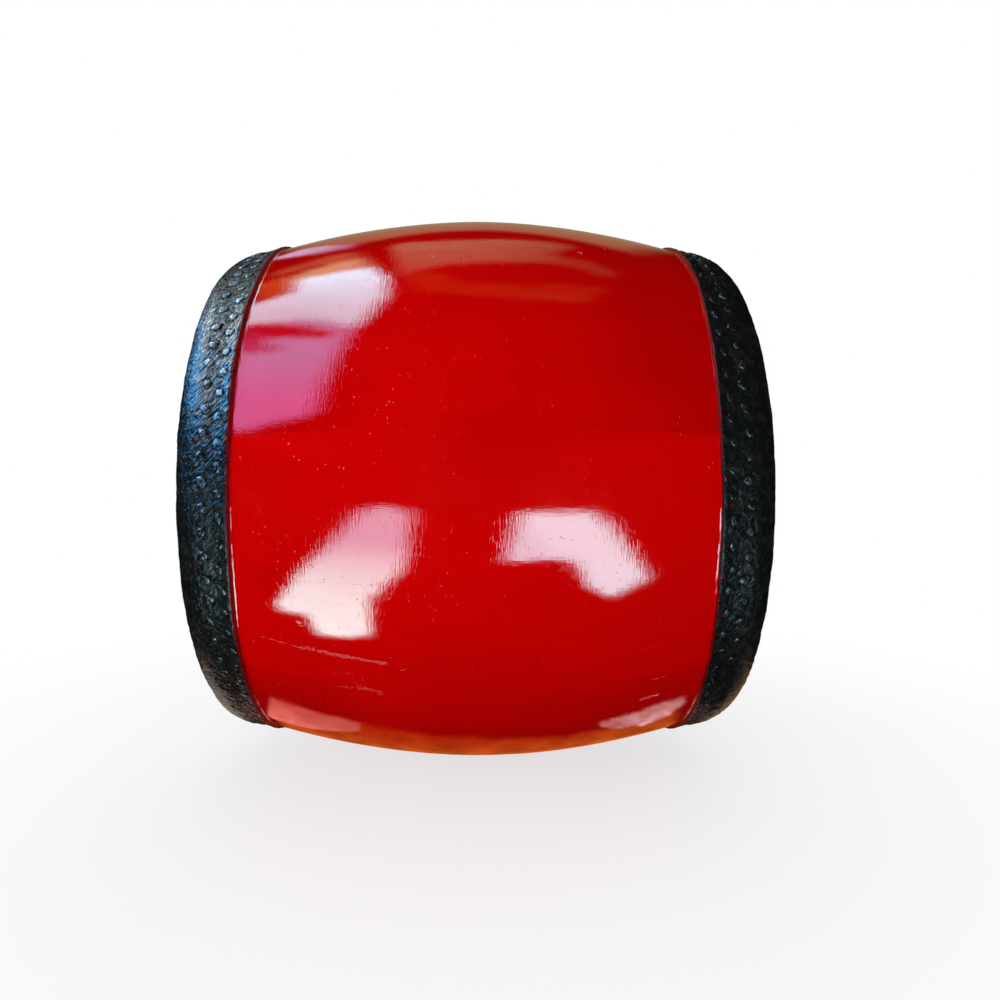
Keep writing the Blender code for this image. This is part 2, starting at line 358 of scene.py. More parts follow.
class NodeTree:
    """The nodes of one material or world, added and joined by short calls."""

    def __init__(self, owner: bpy.types.Material | bpy.types.World) -> None:
        """Takes over the nodes that a new material or world starts with."""
        owner.use_nodes = True
        self.owner = owner
        self.nodes, self.links = owner.node_tree.nodes, owner.node_tree.links

    def feed(self, node: bpy.types.Node, inputs: dict[str | int, object]) -> None:
        """Joins a node's inputs, by name or number, to other nodes' outputs, or sets them to plain values."""
        for key, value in inputs.items():
            socket = node.inputs[key]
            if isinstance(value, Socket):
                self.links.new(value, socket)
            else:
                socket.default_value = (*value, 1.0) if socket.type == "RGBA" else value

    def add(self, kind: str, inputs: dict[str | int, object], **settings: object) -> bpy.types.Node:
        """Adds a node with these inputs and settings."""
        node = self.nodes.new(kind)
        for name, value in settings.items():
            setattr(node, name, value)
        self.feed(node, inputs)
        return node

    def math(self, operation: str, first: object, second: object = 0.0, clamp: bool = False) -> Socket:
        """Output of a Math node."""
        return self.add("ShaderNodeMath", {0: first, 1: second}, operation=operation, use_clamp=clamp).outputs[0]

    def times(self, first: object, second: object) -> Socket:
        """Two values multiplied."""
        return self.math("MULTIPLY", first, second)

    def distance(self, first: object, second: object) -> Socket:
        """Length of the long side of a right triangle: the root of the sum of two squares."""
        squares = self.math("POWER", first, 2.0), self.math("POWER", second, 2.0)
        return self.math("SQRT", self.math("ADD", *squares))

    def place(self) -> Socket:
        """The object's own coordinates."""
        return self.add("ShaderNodeTexCoord", {}).outputs["Object"]

    def parts(self) -> tuple[Socket, ...]:
        """The object's own x, y and z."""
        return tuple(self.add("ShaderNodeSeparateXYZ", {0: self.place()}).outputs)

    def drawn(self, stretch: Stretch, height: float) -> Socket:
        """Object coordinates round an axis at this height, drawn out one way for a texture."""
        along, across = stretch.value
        move = {"Scale": (along, across, across), "Location": (0.0, 0.0, -height * across)}
        return self.add("ShaderNodeMapping", {"Vector": self.place(), **move}).outputs[0]

    def helix(self, turn: float, draw_out: float, height: float) -> Socket:
        """Object coordinates wound round the drum's axis, so that a pattern drawn out along X slants.

        The place is turned about the axis by an angle that grows evenly with x.

        Args:
            turn: Radians for each metre of x.
            draw_out: Scale along the helix, below 1 for long marks.
            height: Height of the axis.

        Returns:
            The place to read a texture at.
        """
        angle = self.times(self.parts()[0], turn)
        wind = {"Vector": self.place(), "Center": (0.0, 0.0, height), "Angle": angle}
        wound = self.add("ShaderNodeVectorRotate", wind, rotation_type="X_AXIS").outputs[0]
        return self.add("ShaderNodeMapping", {"Vector": wound, "Scale": (draw_out, 1.0, 1.0)}).outputs[0]

    def noise(
        self, place: Socket, scale: float, detail: float = 2.0, roughness: float = 0.5, twist: float = 0.0
    ) -> Socket:
        """A Noise texture's value, from 0 to 1, with its middle at a half."""
        inputs = {"Vector": place, "Scale": scale, "Detail": detail, "Roughness": roughness, "Distortion": twist}
        return self.add("ShaderNodeTexNoise", inputs).outputs["Fac"]

    def spots(self, place: Socket, scale: float) -> Socket:
        """Distance to the nearest of many scattered points, in cells."""
        return self.add("ShaderNodeTexVoronoi", {"Vector": place, "Scale": scale}).outputs["Distance"]

    def span(self, value: object, low: float, high: float, start: float = 0.0, end: float = 1.0) -> Socket:
        """A value carried smoothly from low..high to start..end, and held there outside."""
        inputs = dict(enumerate((value, low, high, start, end)))
        node = self.add("ShaderNodeMapRange", inputs, interpolation_type="SMOOTHSTEP", clamp=True)
        return node.outputs["Result"]

    def mix(self, share: object, first: object, second: object) -> Socket:
        """A colour part of the way from the first to the second."""
        node = self.add("ShaderNodeMix", {0: share}, data_type="RGBA")
        low, high = (number for number, socket in enumerate(node.inputs) if socket.type == "RGBA")
        self.feed(node, {low: first, high: second})
        return next(socket for socket in node.outputs if socket.type == "RGBA")

    def bump(self, height: Socket, depth: float, below: Socket | None = None) -> Socket:
        """A normal tilted as if the surface rose by depth where height is 1, over an earlier normal."""
        inputs = {"Strength": 1.0, "Distance": depth, "Height": height}
        return self.add("ShaderNodeBump", inputs if below is None else {**inputs, "Normal": below}).outputs[0]

    def glow(self, colour: object, strength: object = 1.0) -> Socket:
        """Light of a colour."""
        return self.add("ShaderNodeEmission", {"Color": colour, "Strength": strength}).outputs[0]

    def blend(self, share: object, first: Socket, second: Socket) -> Socket:
        """A shader part of the way from the first to the second."""
        return self.add("ShaderNodeMixShader", {0: share, 1: first, 2: second}).outputs[0]

    def surface(self, shader: Socket) -> bpy.types.Material:
        """Makes a shader the material's surface, in place of its first one."""
        self.feed(self.nodes["Material Output"], {"Surface": shader})
        return self.owner

    def shade(self, inputs: dict[str, object], plain: Colour = (0.8, 0.8, 0.8)) -> bpy.types.Material:
        """Feeds the material's first shader, and sets its plain colour for solid views."""
        self.feed(self.nodes["Principled BSDF"], inputs)
        self.owner.diffuse_color = (*plain, 1.0)
        return self.owner


@dataclass(frozen=True)
class RedLacquer:
    """Thick red gloss lacquer, brushed round the drum, with dust and pimples in it."""

    name: str = "red_gloss_lacquer"
    colour: Colour = (0.50, 0.0001, 0.0003)
    # darker red: for random patches and streaks, and for the staves' painted shade
    shade: Colour = (0.37, 0.0001, 0.0002)
    patch_share: float = 0.35
    streak_share: float = 0.14
    # how far the staves' painted shade goes towards the darker red
    stave_shade_share: float = 0.6
    smooth: float = 0.020
    dull: float = 0.055
    peel_depth: float = 0.00005
    brush_depth: float = 0.000055
    streak_depth: float = 0.000032
    dust_depth: float = 0.00016
    staves: int = 16
    stave_wave: float = 5.2
    seam: float = radians(-98.8)
    seam_from: Pair = (0.055, 0.125)
    seam_wobble: float = 0.012

    def stave_facet_shade(self, nodes: NodeTree, shape: DrumShape, wobble: Socket) -> Socket:
        """Painted shade for each stave, from 0 to 1, standing for the light that each stave's flat face catches,
        and shown only towards the ends.

        The tone is half of 1 plus the sine of the stave's number times the wave, less a quarter turn.

        Args:
            nodes: The material's nodes.
            shape: Outline of the drum, for its axis.
            wobble: Noise that frays the seams.

        Returns:
            The painted shade.
        """
        x, y, z = nodes.parts()
        angle = nodes.math("ARCTAN2", y, nodes.math("SUBTRACT", shape.axis_height, z))
        frayed = nodes.math("ADD", angle, nodes.times(wobble, self.seam_wobble))
        share = nodes.math("DIVIDE", nodes.math("SUBTRACT", frayed, self.seam), tau / self.staves)
        number = nodes.math("FLOORED_MODULO", nodes.math("FLOOR", share), float(self.staves))
        wave = nodes.math("SINE", nodes.math("SUBTRACT", nodes.times(number, self.stave_wave), pi / 2))
        tone = nodes.times(nodes.math("ADD", wave, 1.0), 0.5)
        return nodes.times(tone, nodes.span(nodes.math("ABSOLUTE", x), *self.seam_from))

    def material(self, shape: DrumShape) -> bpy.types.Material:
        """Builds the lacquer: random patches and streaks of a darker red, and the staves' painted shade in that
        red, under brush marks and dust.

        Args:
            shape: Outline of the drum, for its axis.

        Returns:
            The material.
        """
        nodes = NodeTree(bpy.data.materials.new(self.name))
        even, around, along = (nodes.drawn(stretch, shape.axis_height) for stretch in Stretch)
        patches = nodes.times(nodes.span(nodes.noise(even, 7.0, 3.0), 0.35, 0.65), self.patch_share)
        streaks = nodes.times(nodes.span(nodes.noise(along, 60.0, 3.0), 0.3, 0.7), self.streak_share)
        # painted shade: each stave a lighter or darker red towards the ends, as its flat face would catch the
        # light
        staves = nodes.times(self.stave_facet_shade(nodes, shape, nodes.noise(even, 55.0, 2.0)), self.stave_shade_share)
        # share of the darker red: random patches and streaks, plus the staves' painted shade
        tone = nodes.math("ADD", nodes.math("ADD", patches, streaks), staves, clamp=True)
        specks = nodes.span(nodes.spots(even, 210.0), 0.03, 0.10, 1.0, 0.0)
        normal = nodes.bump(nodes.noise(even, 42.0, 1.0), self.peel_depth)
        normal = nodes.bump(nodes.noise(around, 900.0, 2.0, 0.6), self.brush_depth, normal)
        normal = nodes.bump(nodes.noise(along, 900.0, 2.0, 0.6), self.streak_depth, normal)
        inputs = {
            "Base Color": nodes.mix(tone, self.colour, self.shade),
            "Roughness": nodes.span(nodes.noise(even, 35.0, 4.0), 0.3, 0.7, self.smooth, self.dull),
            "Normal": nodes.bump(specks, self.dust_depth, normal),
            "IOR": GLOSS_IOR,
        }
        return nodes.shade(inputs, self.colour)


@dataclass(frozen=True)
class PaintedShadeStripLacquer:
    """The run of lacquer that fills the step at the hide's cut edge: its dark red is painted shade of the step
    under the hide's edge, with blackish blotches where a noise runs high.
    """

    name: str = "painted_shade_strip_lacquer"
    # painted shade: the strip's dark red, for a step that faces away from the light
    colour: Colour = (0.16, 0.0002, 0.0012)
    # near-black, mixed into the strip in blotches where a noise runs high
    black: Colour = (0.04, 0.001, 0.001)
    dull: Pair = (0.40, 0.60)
    shine: float = 0.05
    lump_depth: float = 0.00016

    def material(self, shape: DrumShape) -> bpy.types.Material:
        """Builds the strip's lacquer: painted shade in dark red, blackish in blotches.

        Args:
            shape: Outline of the drum, for its axis.

        Returns:
            The material.
        """
        nodes = NodeTree(bpy.data.materials.new(self.name))
        even = nodes.drawn(Stretch.EVEN, shape.axis_height)
        # blackish blotches where a noise runs high, and rougher there
        dark_blotches = nodes.span(nodes.noise(even, 260.0, 4.0, 0.65), 0.50, 0.66)
        inputs = {
            "Base Color": nodes.mix(dark_blotches, self.colour, self.black),
            "Roughness": nodes.span(dark_blotches, 0.0, 1.0, *self.dull),
            "Normal": nodes.bump(nodes.noise(even, 420.0, 3.0), self.lump_depth),
            "Specular IOR Level": self.shine,
        }
        return nodes.shade(inputs, self.colour)


@dataclass(frozen=True)
class PaintedHide:
    """Buffalo hide, brushed with black gloss paint on its skirt and left bare on its striking face."""

    name: str = "black_painted_hide"
    paint: Colour = (0.004, 0.005, 0.005)
    worn_paint: Colour = (0.012, 0.012, 0.011)
    red_speck: Colour = (0.30, 0.002, 0.002)
    bare: Colour = (0.62, 0.49, 0.32)
    stain: Colour = (0.50, 0.36, 0.20)
    follicle: Colour = (0.30, 0.19, 0.10)
    paint_radius: Pair = (0.1975, 0.2020)
    ragged: float = 0.012
    speck_reach: Pair = (0.004, 0.010)
    wrinkle_slant: float = 4.2
    wrinkle_stretch: float = 0.30
    wrinkle_depth: float = 0.00021
    lump_depth: float = 0.00019
    pore_depth: float = 0.00003
    gloss: Pair = (0.04, 0.12)
    bare_dullness: float = 0.34
    shine: float = 0.15

    def skin(self, nodes: NodeTree, even: Socket) -> Socket:
        """Colour of the bare face: clouds, fibres, and the dots of the hair that was scraped off.

        Args:
            nodes: The material's nodes.
            even: Where to read the textures.

        Returns:
            The colour.
        """
        cloud = nodes.span(nodes.noise(even, 6.0, 6.0, 0.62), 0.30, 0.74, 0.0, 0.75)
        fibres = nodes.span(nodes.noise(even, 85.0, 5.0, 0.75), 0.36, 0.70, 0.0, 0.40)
        dots = nodes.times(nodes.span(nodes.spots(even, 330.0), 0.10, 0.24, 0.55, 0.0), cloud)
        stained = nodes.mix(nodes.math("ADD", cloud, fibres, clamp=True), self.bare, self.stain)
        return nodes.mix(dots, stained, self.follicle)

    def material(self, shape: DrumShape) -> bpy.types.Material:
        """Builds the hide's paint, with red specks by its edge, and its bare face.

        Args:
            shape: Outline of the drum, for its axis.

        Returns:
            The material.
        """
        nodes = NodeTree(bpy.data.materials.new(self.name))
        even = nodes.drawn(Stretch.EVEN, shape.axis_height)
        slanted = nodes.helix(self.wrinkle_slant, self.wrinkle_stretch, shape.axis_height)
        x, y, z = nodes.parts()
        radius = nodes.distance(y, nodes.math("SUBTRACT", z, shape.axis_height))
        frayed = nodes.math("ADD", radius, nodes.times(nodes.noise(even, 55.0, 4.0, 0.6), self.ragged))
        painted = nodes.span(frayed, *self.paint_radius)
        edge = (shape.hide_edge + reach for reach in self.speck_reach)
        near_edge = nodes.span(nodes.math("ABSOLUTE", x), *edge, 1.0, 0.0)
        specks = nodes.times(nodes.span(nodes.noise(even, 190.0, 2.0), 0.70, 0.72), near_edge)
        worn = nodes.span(nodes.noise(even, 130.0, 4.0, 0.65), 0.45, 0.7)
        black = nodes.mix(specks, nodes.mix(worn, self.paint, self.worn_paint), self.red_speck)
        gloss = nodes.span(nodes.noise(even, 160.0, 3.0), 0.35, 0.7, *self.gloss)
        dull = nodes.times(nodes.math("SUBTRACT", 1.0, painted), self.bare_dullness)
        crests = nodes.span(nodes.noise(slanted, 430.0, 2.0, 0.5, 0.4), 0.42, 0.60)
        crumbs = nodes.span(nodes.noise(even, 360.0, 3.0, 0.6), 0.45, 0.62)
        normal = nodes.bump(nodes.times(crumbs, painted), self.lump_depth)
        normal = nodes.bump(nodes.times(crests, painted), self.wrinkle_depth, normal)
        inputs = {
            "Base Color": nodes.mix(painted, self.skin(nodes, even), black),
            "Roughness": nodes.math("ADD", gloss, dull),
            "Normal": nodes.bump(nodes.noise(even, 1500.0, 2.0), self.pore_depth, normal),
            "IOR": GLOSS_IOR,
            "Specular IOR Level": self.shine,
        }
        return nodes.shade(inputs, self.paint)


@dataclass(frozen=True)
class Bamboo:
    """Split bamboo of the dowels, with its fibres along them."""

    name: str = "split_bamboo"
    colour: Colour = (0.60, 0.44, 0.22)
    fibre: Colour = (0.42, 0.27, 0.11)
    fibre_depth: float = 0.00005
    dull: float = 0.55

    def material(self, shape: DrumShape) -> bpy.types.Material:
        """Builds the bamboo: dark fibres in pale wood.

        Args:
            shape: Outline of the drum, for its axis.

        Returns:
            The material.
        """
        nodes = NodeTree(bpy.data.materials.new(self.name))
        even = nodes.drawn(Stretch.EVEN, shape.axis_height)
        fibres = nodes.span(nodes.noise(even, 900.0, 3.0, 0.6), 0.4, 0.65)
        inputs = {
            "Base Color": nodes.mix(fibres, self.colour, self.fibre),
            "Roughness": self.dull,
            "Normal": nodes.bump(fibres, self.fibre_depth),
        }
        return nodes.shade(inputs)


@dataclass
class Barrel:
    """The lacquered barrel: sixteen staves under one skin of lacquer that runs up each hide's edge."""

    shape: DrumShape
    finish: RedLacquer = field(default_factory=RedLacquer)
    # the strip's lacquer, dark red as painted shade
    strip_shade_finish: PaintedShadeStripLacquer = field(default_factory=PaintedShadeStripLacquer)
    columns: int = 480
    middle_rows: int = 105
    inside_rows: int = 11
    strip_width: Pair = (0.0034, 0.0019)
    strip_height: float = 0.0028
    ridge_width: float = 0.0006
    ridge_height: float = 0.00036
    low_strip: float = 0.68
    margin: float = 0.0095
    skin_depth: float = 0.00025
    hidden: tuple[float, ...] = (0.0004, 0.004, 0.010, 0.018, 0.026, 0.033, 0.040, 0.045, 0.050, 0.055)
    warp: RandomHills = RandomHills(13, 0.07, 0.00028, 21)
    dent: RandomHills = RandomHills(47, 0.021, 0.00005, 22)
    wander: RandomHills = RandomHills(23, 1.0, 0.0004, 23)
    lumps: RandomHills = RandomHills(300, 0.0021, 0.00009, 24)
    staves: int = 16

    def strip_rows(self) -> np.ndarray:
        """Distances from the hide's edge at which the strip along it has a ring of corners."""
        widest = max(self.strip_width)
        coarse = np.linspace(self.margin, widest + 0.0017, 4)
        fine = np.linspace(widest + 0.0013, 0.0004, 24)
        return np.concatenate([coarse, fine, [0.00015]])

    def foot(self, angle: np.ndarray, side: Side) -> np.ndarray:
        """Distance of the strip's foot from the hide's edge, which wanders and is less on the lower half."""
        share = 1.0 - (1.0 - self.low_strip) * smooth_step(np.cos(angle), -0.25, 0.25)
        return self.strip_width[side.number] * share + self.wander.hills(0.0, angle + side.value)

    def relief(self, x: np.ndarray, angle: np.ndarray, from_edge: np.ndarray, side: Side) -> np.ndarray:
        """Height of the lacquer above the turned barrel, near a hide.

        The strip rises from its foot to the hide's edge in a nearly even slope, and a bell-shaped ridge
        runs along its foot, broken here and there.

        Args:
            x: Places along the axis.
            angle: Angles round it.
            from_edge: Distances from the hide's cut edge.
            side: End of the drum.

        Returns:
            Heights.
        """
        foot = self.foot(angle, side)
        even = np.clip((foot - from_edge) / (0.85 * foot), 0.0, 1.0)
        rise = self.strip_height * (0.8 * even + 0.2 * smooth_step(even, 0.0, 1.0))
        ridge = self.ridge_height * bump(from_edge - foot - 0.0002, self.ridge_width)
        lumpy = self.lumps.hills(x, angle) * smooth_step(foot - from_edge, -0.0015, 0.0015)
        broken = smooth_step(self.lumps.blend(0.0, 3.0 * angle), -0.3, 0.5)
        return rise + ridge * (0.2 + 1.1 * broken) + lumpy

    def skin(self, x: np.ndarray, angle: np.ndarray) -> np.ndarray:
        """Radius of the brushed skin: the belly's radius and its slow warps and dents."""
        return self.shape.belly(x) - self.skin_depth + self.warp.hills(x, angle) + self.dent.hills(x, angle)

    def end_rings(self, side: Side, angle: np.ndarray) -> Rings:
        """x and radius of an end's rings: up the strip to the hide's edge, and on under the hide's path.

        Args:
            side: End of the drum.
            angle: Angles round the axis.

        Returns:
            Arrays of x and radius with a row for each ring.
        """
        gap = self.strip_rows()[:, None] + 0.0 * angle
        x = side.value * (self.shape.edge(side, angle) - gap)
        radius = self.skin(x, angle) + self.relief(x, angle, gap, side)
        under = self.shape.kept(np.array(self.hidden)[:, None], side, angle)
        under_x, under_radius = self.shape.hide_at(under, self.shape.under_hide)
        under_x = under_x + self.shape.wave(side, angle) * smooth_step(under, self.shape.cut_fades, 0.0)
        return np.concatenate([x, side.value * under_x]), np.concatenate([radius, under_radius])

    def outside(self, angle: np.ndarray) -> Rings:
        """x and radius of the rings on the outside, from the left end to the right.

        Between the two strips the rings are evenly apart.

        Args:
            angle: Angles round the axis.

        Returns:
            Arrays of x and radius with a row for each ring.
        """
        left_x, left_radius = (rings[::-1] for rings in self.end_rings(Side.LEFT, angle))
        right_x, right_radius = self.end_rings(Side.RIGHT, angle)
        share = np.linspace(0.0, 1.0, self.middle_rows)[1:-1, None]
        middle = left_x[-1] + (right_x[0] - left_x[-1]) * share
        radius = np.concatenate([left_radius, self.skin(middle, angle), right_radius])
        return np.concatenate([left_x, middle, right_x]), radius

    def inside(self, angle: np.ndarray) -> Rings:
        """x and radius of the rings inside, from the right end back to the left.

        Each stave's inner face is flat: its radius grows from its middle as one over the cosine of the angle
        to the middle.

        Args:
            angle: Angles round the axis.

        Returns:
            Arrays of x and radius with a row for each ring.
        """
        end = self.shape.hide_at(np.array(self.hidden[-1]), self.shape.under_hide)[0]
        x = np.linspace(end, -end, self.inside_rows)[:, None]
        step = tau / self.staves
        from_middle = (angle + step / 2) % step - step / 2
        radius = (self.shape.belly(x) - self.shape.stave_thickness) * np.cos(step / 2) / np.cos(from_middle)
        return x + 0.0 * angle, radius

    def build(self) -> bpy.types.Object:
        """Builds the closed shell of the barrel and puts it in the staves' place."""
        angle = np.arange(self.columns)[None, :] * (tau / self.columns)
        outside, inside = self.outside(angle), self.inside(angle)
        x, radius = (np.concatenate(rings) for rings in zip(outside, inside))
        points = self.shape.place(x, radius, angle).reshape(-1, 3)
        faces = ring_faces(len(x), self.columns, closed=True, flip=False)
        piece = make_piece("lacquered_barrel", points, [faces], self.finish.material(self.shape))
        # the strip by each hide's edge gets the dark red lacquer of painted shade
        piece.data.materials.append(self.strip_shade_finish.material(self.shape))
        outer = np.arange(len(x))[:, None] < len(outside[0]) - 1
        in_strip = np.zeros(x.shape, dtype=np.int32)
        for side in Side:
            in_strip |= (self.shape.edge(side, angle) - side.value * x < self.foot(angle, side)) & outer
        piece.data.polygons.foreach_set("material_index", in_strip.ravel())
        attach(piece, BODY)
        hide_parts(*[f"stave_{number:02d}" for number in range(1, self.staves + 1)])
        return piece


@dataclass(frozen=True)
class PegRows:
    """Where the pegs of one end stand: two staggered rows, each peg a little off its place."""

    shape: DrumShape
    side: Side
    in_row: int = 80
    row_x: Pair = (0.1797, 0.1912)
    first: float = 0.25
    stray: float = 0.0011
    stray_round: float = 1.6
    radius: Pair = (0.0033, 0.0045)
    height: Pair = (0.0004, 0.0011)
    follow: float = 0.35
    skirt_radius: float = 0.224

    def random(self, low: float, high: float, seed: int) -> np.ndarray:
        """A random number for each peg, the same on every run."""
        source = np.random.default_rng(1000 + 10 * seed + self.side.value)
        return source.uniform(low, high, 2 * self.in_row)

    def places(self) -> tuple[np.ndarray, np.ndarray]:
        """Length along the hide and angle round the drum of each peg, row by row from the cut edge."""
        row = np.repeat([0, 1], self.in_row)
        number = np.tile(np.arange(self.in_row), 2)
        angle = (number + 0.5 * row + self.first) * (tau / self.in_row)
        stray = self.random(-self.stray_round, self.stray_round, 1) * self.stray
        angle = angle + stray / self.shape.belly_radius
        length = self.shape.hide_length(np.array(self.row_x)[row]) + self.random(-self.stray, self.stray, 2)
        return length + self.follow * self.shape.low_cut(angle), angle

    def distances(self, length: np.ndarray, angle: np.ndarray) -> np.ndarray:
        """Distance from each point of the skirt to the peg nearest to it in either row.

        A peg's row is the nearest whole number of steps round the drum, so no point has to look at more
        than one peg in a row.

        Args:
            length: Lengths along the hide.
            angle: Angles round the drum.

        Returns:
            Distances.
        """
        peg_length, peg_angle = self.places()
        step = tau / self.in_row
        found = []
        for row in (0, 1):
            number = np.round(angle / step - 0.5 * row - self.first).astype(int)
            near = number % self.in_row + row * self.in_row
            turn = (angle - peg_angle[near] + pi) % tau - pi
            found.append(np.hypot(self.skirt_radius * turn, length - peg_length[near]))
        return np.minimum(*found)


@dataclass
class DrumHead:
    """A hide: its cut edge, its painted skirt with a pucker at each peg, and its taut striking face."""

    shape: DrumShape
    side: Side
    material: bpy.types.Material
    columns: int = 1280
    skirt_rows: int = 50
    skirt_length: float = 0.064
    head_rows: int = 9
    fullness: Pair = (0.0010, 0.0035)
    full_at: float = 0.047
    full_width: float = 0.017
    swell: RandomHills = RandomHills(90, 0.011, 0.00030, 31)
    crease: RandomHills = RandomHills(330, 0.0052, 0.00016, 32, slant=-9.0)
    crumb: RandomHills = RandomHills(560, 0.0023, 0.00021, 33, slant=-5.0)
    pull: RandomHills = RandomHills(70, 0.4, 0.00020, 34)
    pucker_depth: float = 0.00055
    pucker_width: float = 0.0046
    pucker_ring: Pair = (0.0068, 0.0016)
    pucker_ring_height: float = 0.00025
    lowest: float = -0.0012
    highest: float = 0.00075
    edge_rows: tuple[float, ...] = (0.0, 0.0003, 0.0006, 0.0010, 0.0015)
    edge_round: float = 0.0006
    wall: tuple[float, ...] = (-0.0022, -0.0014, -0.0008)
    inner_rows: tuple[float, ...] = (0.05, 0.04, 0.03, 0.015, 0.0004)
    hub: float = 0.004

    def relief(self, length: np.ndarray, angle: np.ndarray) -> np.ndarray:
        """Height of the skirt's painted skin above the hide's path.

        Swells, slanting creases and crumbs of paint add up. The skin sinks round each peg, in a bell a few
        millimetres wide, and rises in a low ring outside it. It all fades out over the rim, where the hide
        is pulled taut, and rounds down at the cut edge.

        Args:
            length: Lengths along the hide.
            angle: Angles round the drum.

        Returns:
            Heights.
        """
        turn = angle + 2.3 * self.side.value
        skin = self.swell.hills(length, turn) + self.crease.ridges(length, turn) + self.crumb.hills(length, turn)
        away = PegRows(self.shape, self.side).distances(length, angle)
        ring_at, ring_width = self.pucker_ring
        skin = skin - self.pucker_depth * bump(away, self.pucker_width)
        skin = skin + self.pucker_ring_height * bump(away - ring_at, ring_width)
        skin = skin * smooth_step(length, 0.068, 0.052)
        skin = skin + self.pull.hills(length, turn) * smooth_step(length, 0.2, 0.05)
        from_cut = length - self.shape.cut(self.side, angle)
        skin = np.clip(skin, self.lowest, self.highest) * smooth_step(from_cut, -0.0006, 0.0012)
        return skin - self.edge_round * smooth_step(from_cut, 0.0015, -0.0004)

    def full_rim(self, length: np.ndarray, angle: np.ndarray) -> np.ndarray:
        """How much fuller the rim's corner is towards the floor, and a little towards the top.

        The hide bulges in a bell along its length, times 3t^2 - 2t^3 of the angle's cosine.

        Args:
            length: Lengths along the hide.
            angle: Angles round the drum.

        Returns:
            Heights.
        """
        up, down = (smooth_step(sign * np.cos(angle), 0.0, 0.9) for sign in (-1.0, 1.0))
        return (self.fullness[0] * up + self.fullness[1] * down) * bump(length - self.full_at, self.full_width)

    def rings(self, angle: np.ndarray) -> Rings:
        """x and radius of the rings, from the middle of the hide's inside over its cut edge to its outside.

        Args:
            angle: Angles round the axis.

        Returns:
            Arrays of x and radius with a row for each ring.
        """
        middle = self.shape.hide_path()[0][-1] - self.hub
        skirt = np.linspace(0.0022, self.skirt_length, self.skirt_rows - len(self.edge_rows))
        head = np.linspace(0.0, 1.0, self.head_rows + 1)[1:] ** 0.8
        outer = np.concatenate([self.edge_rows, skirt, self.skirt_length + (middle - self.skirt_length) * head])
        outer = self.shape.kept(outer[:, None], self.side, angle)
        outside = self.shape.hide_at(outer, self.relief(outer, angle) + self.full_rim(outer, angle))
        inner = np.concatenate([np.linspace(middle, self.skirt_length, 4), self.inner_rows])
        inner = self.shape.kept(inner[:, None], self.side, angle)
        inside = self.shape.hide_at(inner, -self.shape.hide_thickness)
        cut = self.shape.cut(self.side, angle)
        wall_at = cut + np.zeros((len(self.wall), 1))
        wall = self.shape.hide_at(wall_at, np.array(self.wall)[:, None])
        x = np.concatenate([inside[0], wall[0] - 0.0001, outside[0]])
        length = np.concatenate([inner, wall_at, outer])
        x = x + self.shape.wave(self.side, angle) * smooth_step(length - cut, 0.009, 0.001)
        return x, np.concatenate([inside[1], wall[1], outside[1]])

    def build(self) -> bpy.types.Object:
        """Builds the closed hide and puts it in its solid's place."""
        angle = np.arange(self.columns)[None, :] * (tau / self.columns)
        x, radius = self.rings(angle)
        points = self.shape.place(self.side.value * x, radius, angle).reshape(-1, 3)
        middle = self.shape.place(self.side.value * x[[0, -1], 0], 0.0, 0.0)
        flip = self.side is Side.LEFT
        last = (len(x) - 1) * self.columns
        faces = [
            ring_faces(len(x), self.columns, closed=False, flip=flip),
            pole_faces(len(points), 0, self.columns, flip=not flip),
            pole_faces(len(points) + 1, last, self.columns, flip=flip),
        ]
        piece = make_piece(f"hide_{self.side.word}", np.concatenate([points, middle]), faces, self.material)
        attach(piece, BODY)
        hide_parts(f"drumhead_{self.side.word}")
        return piece


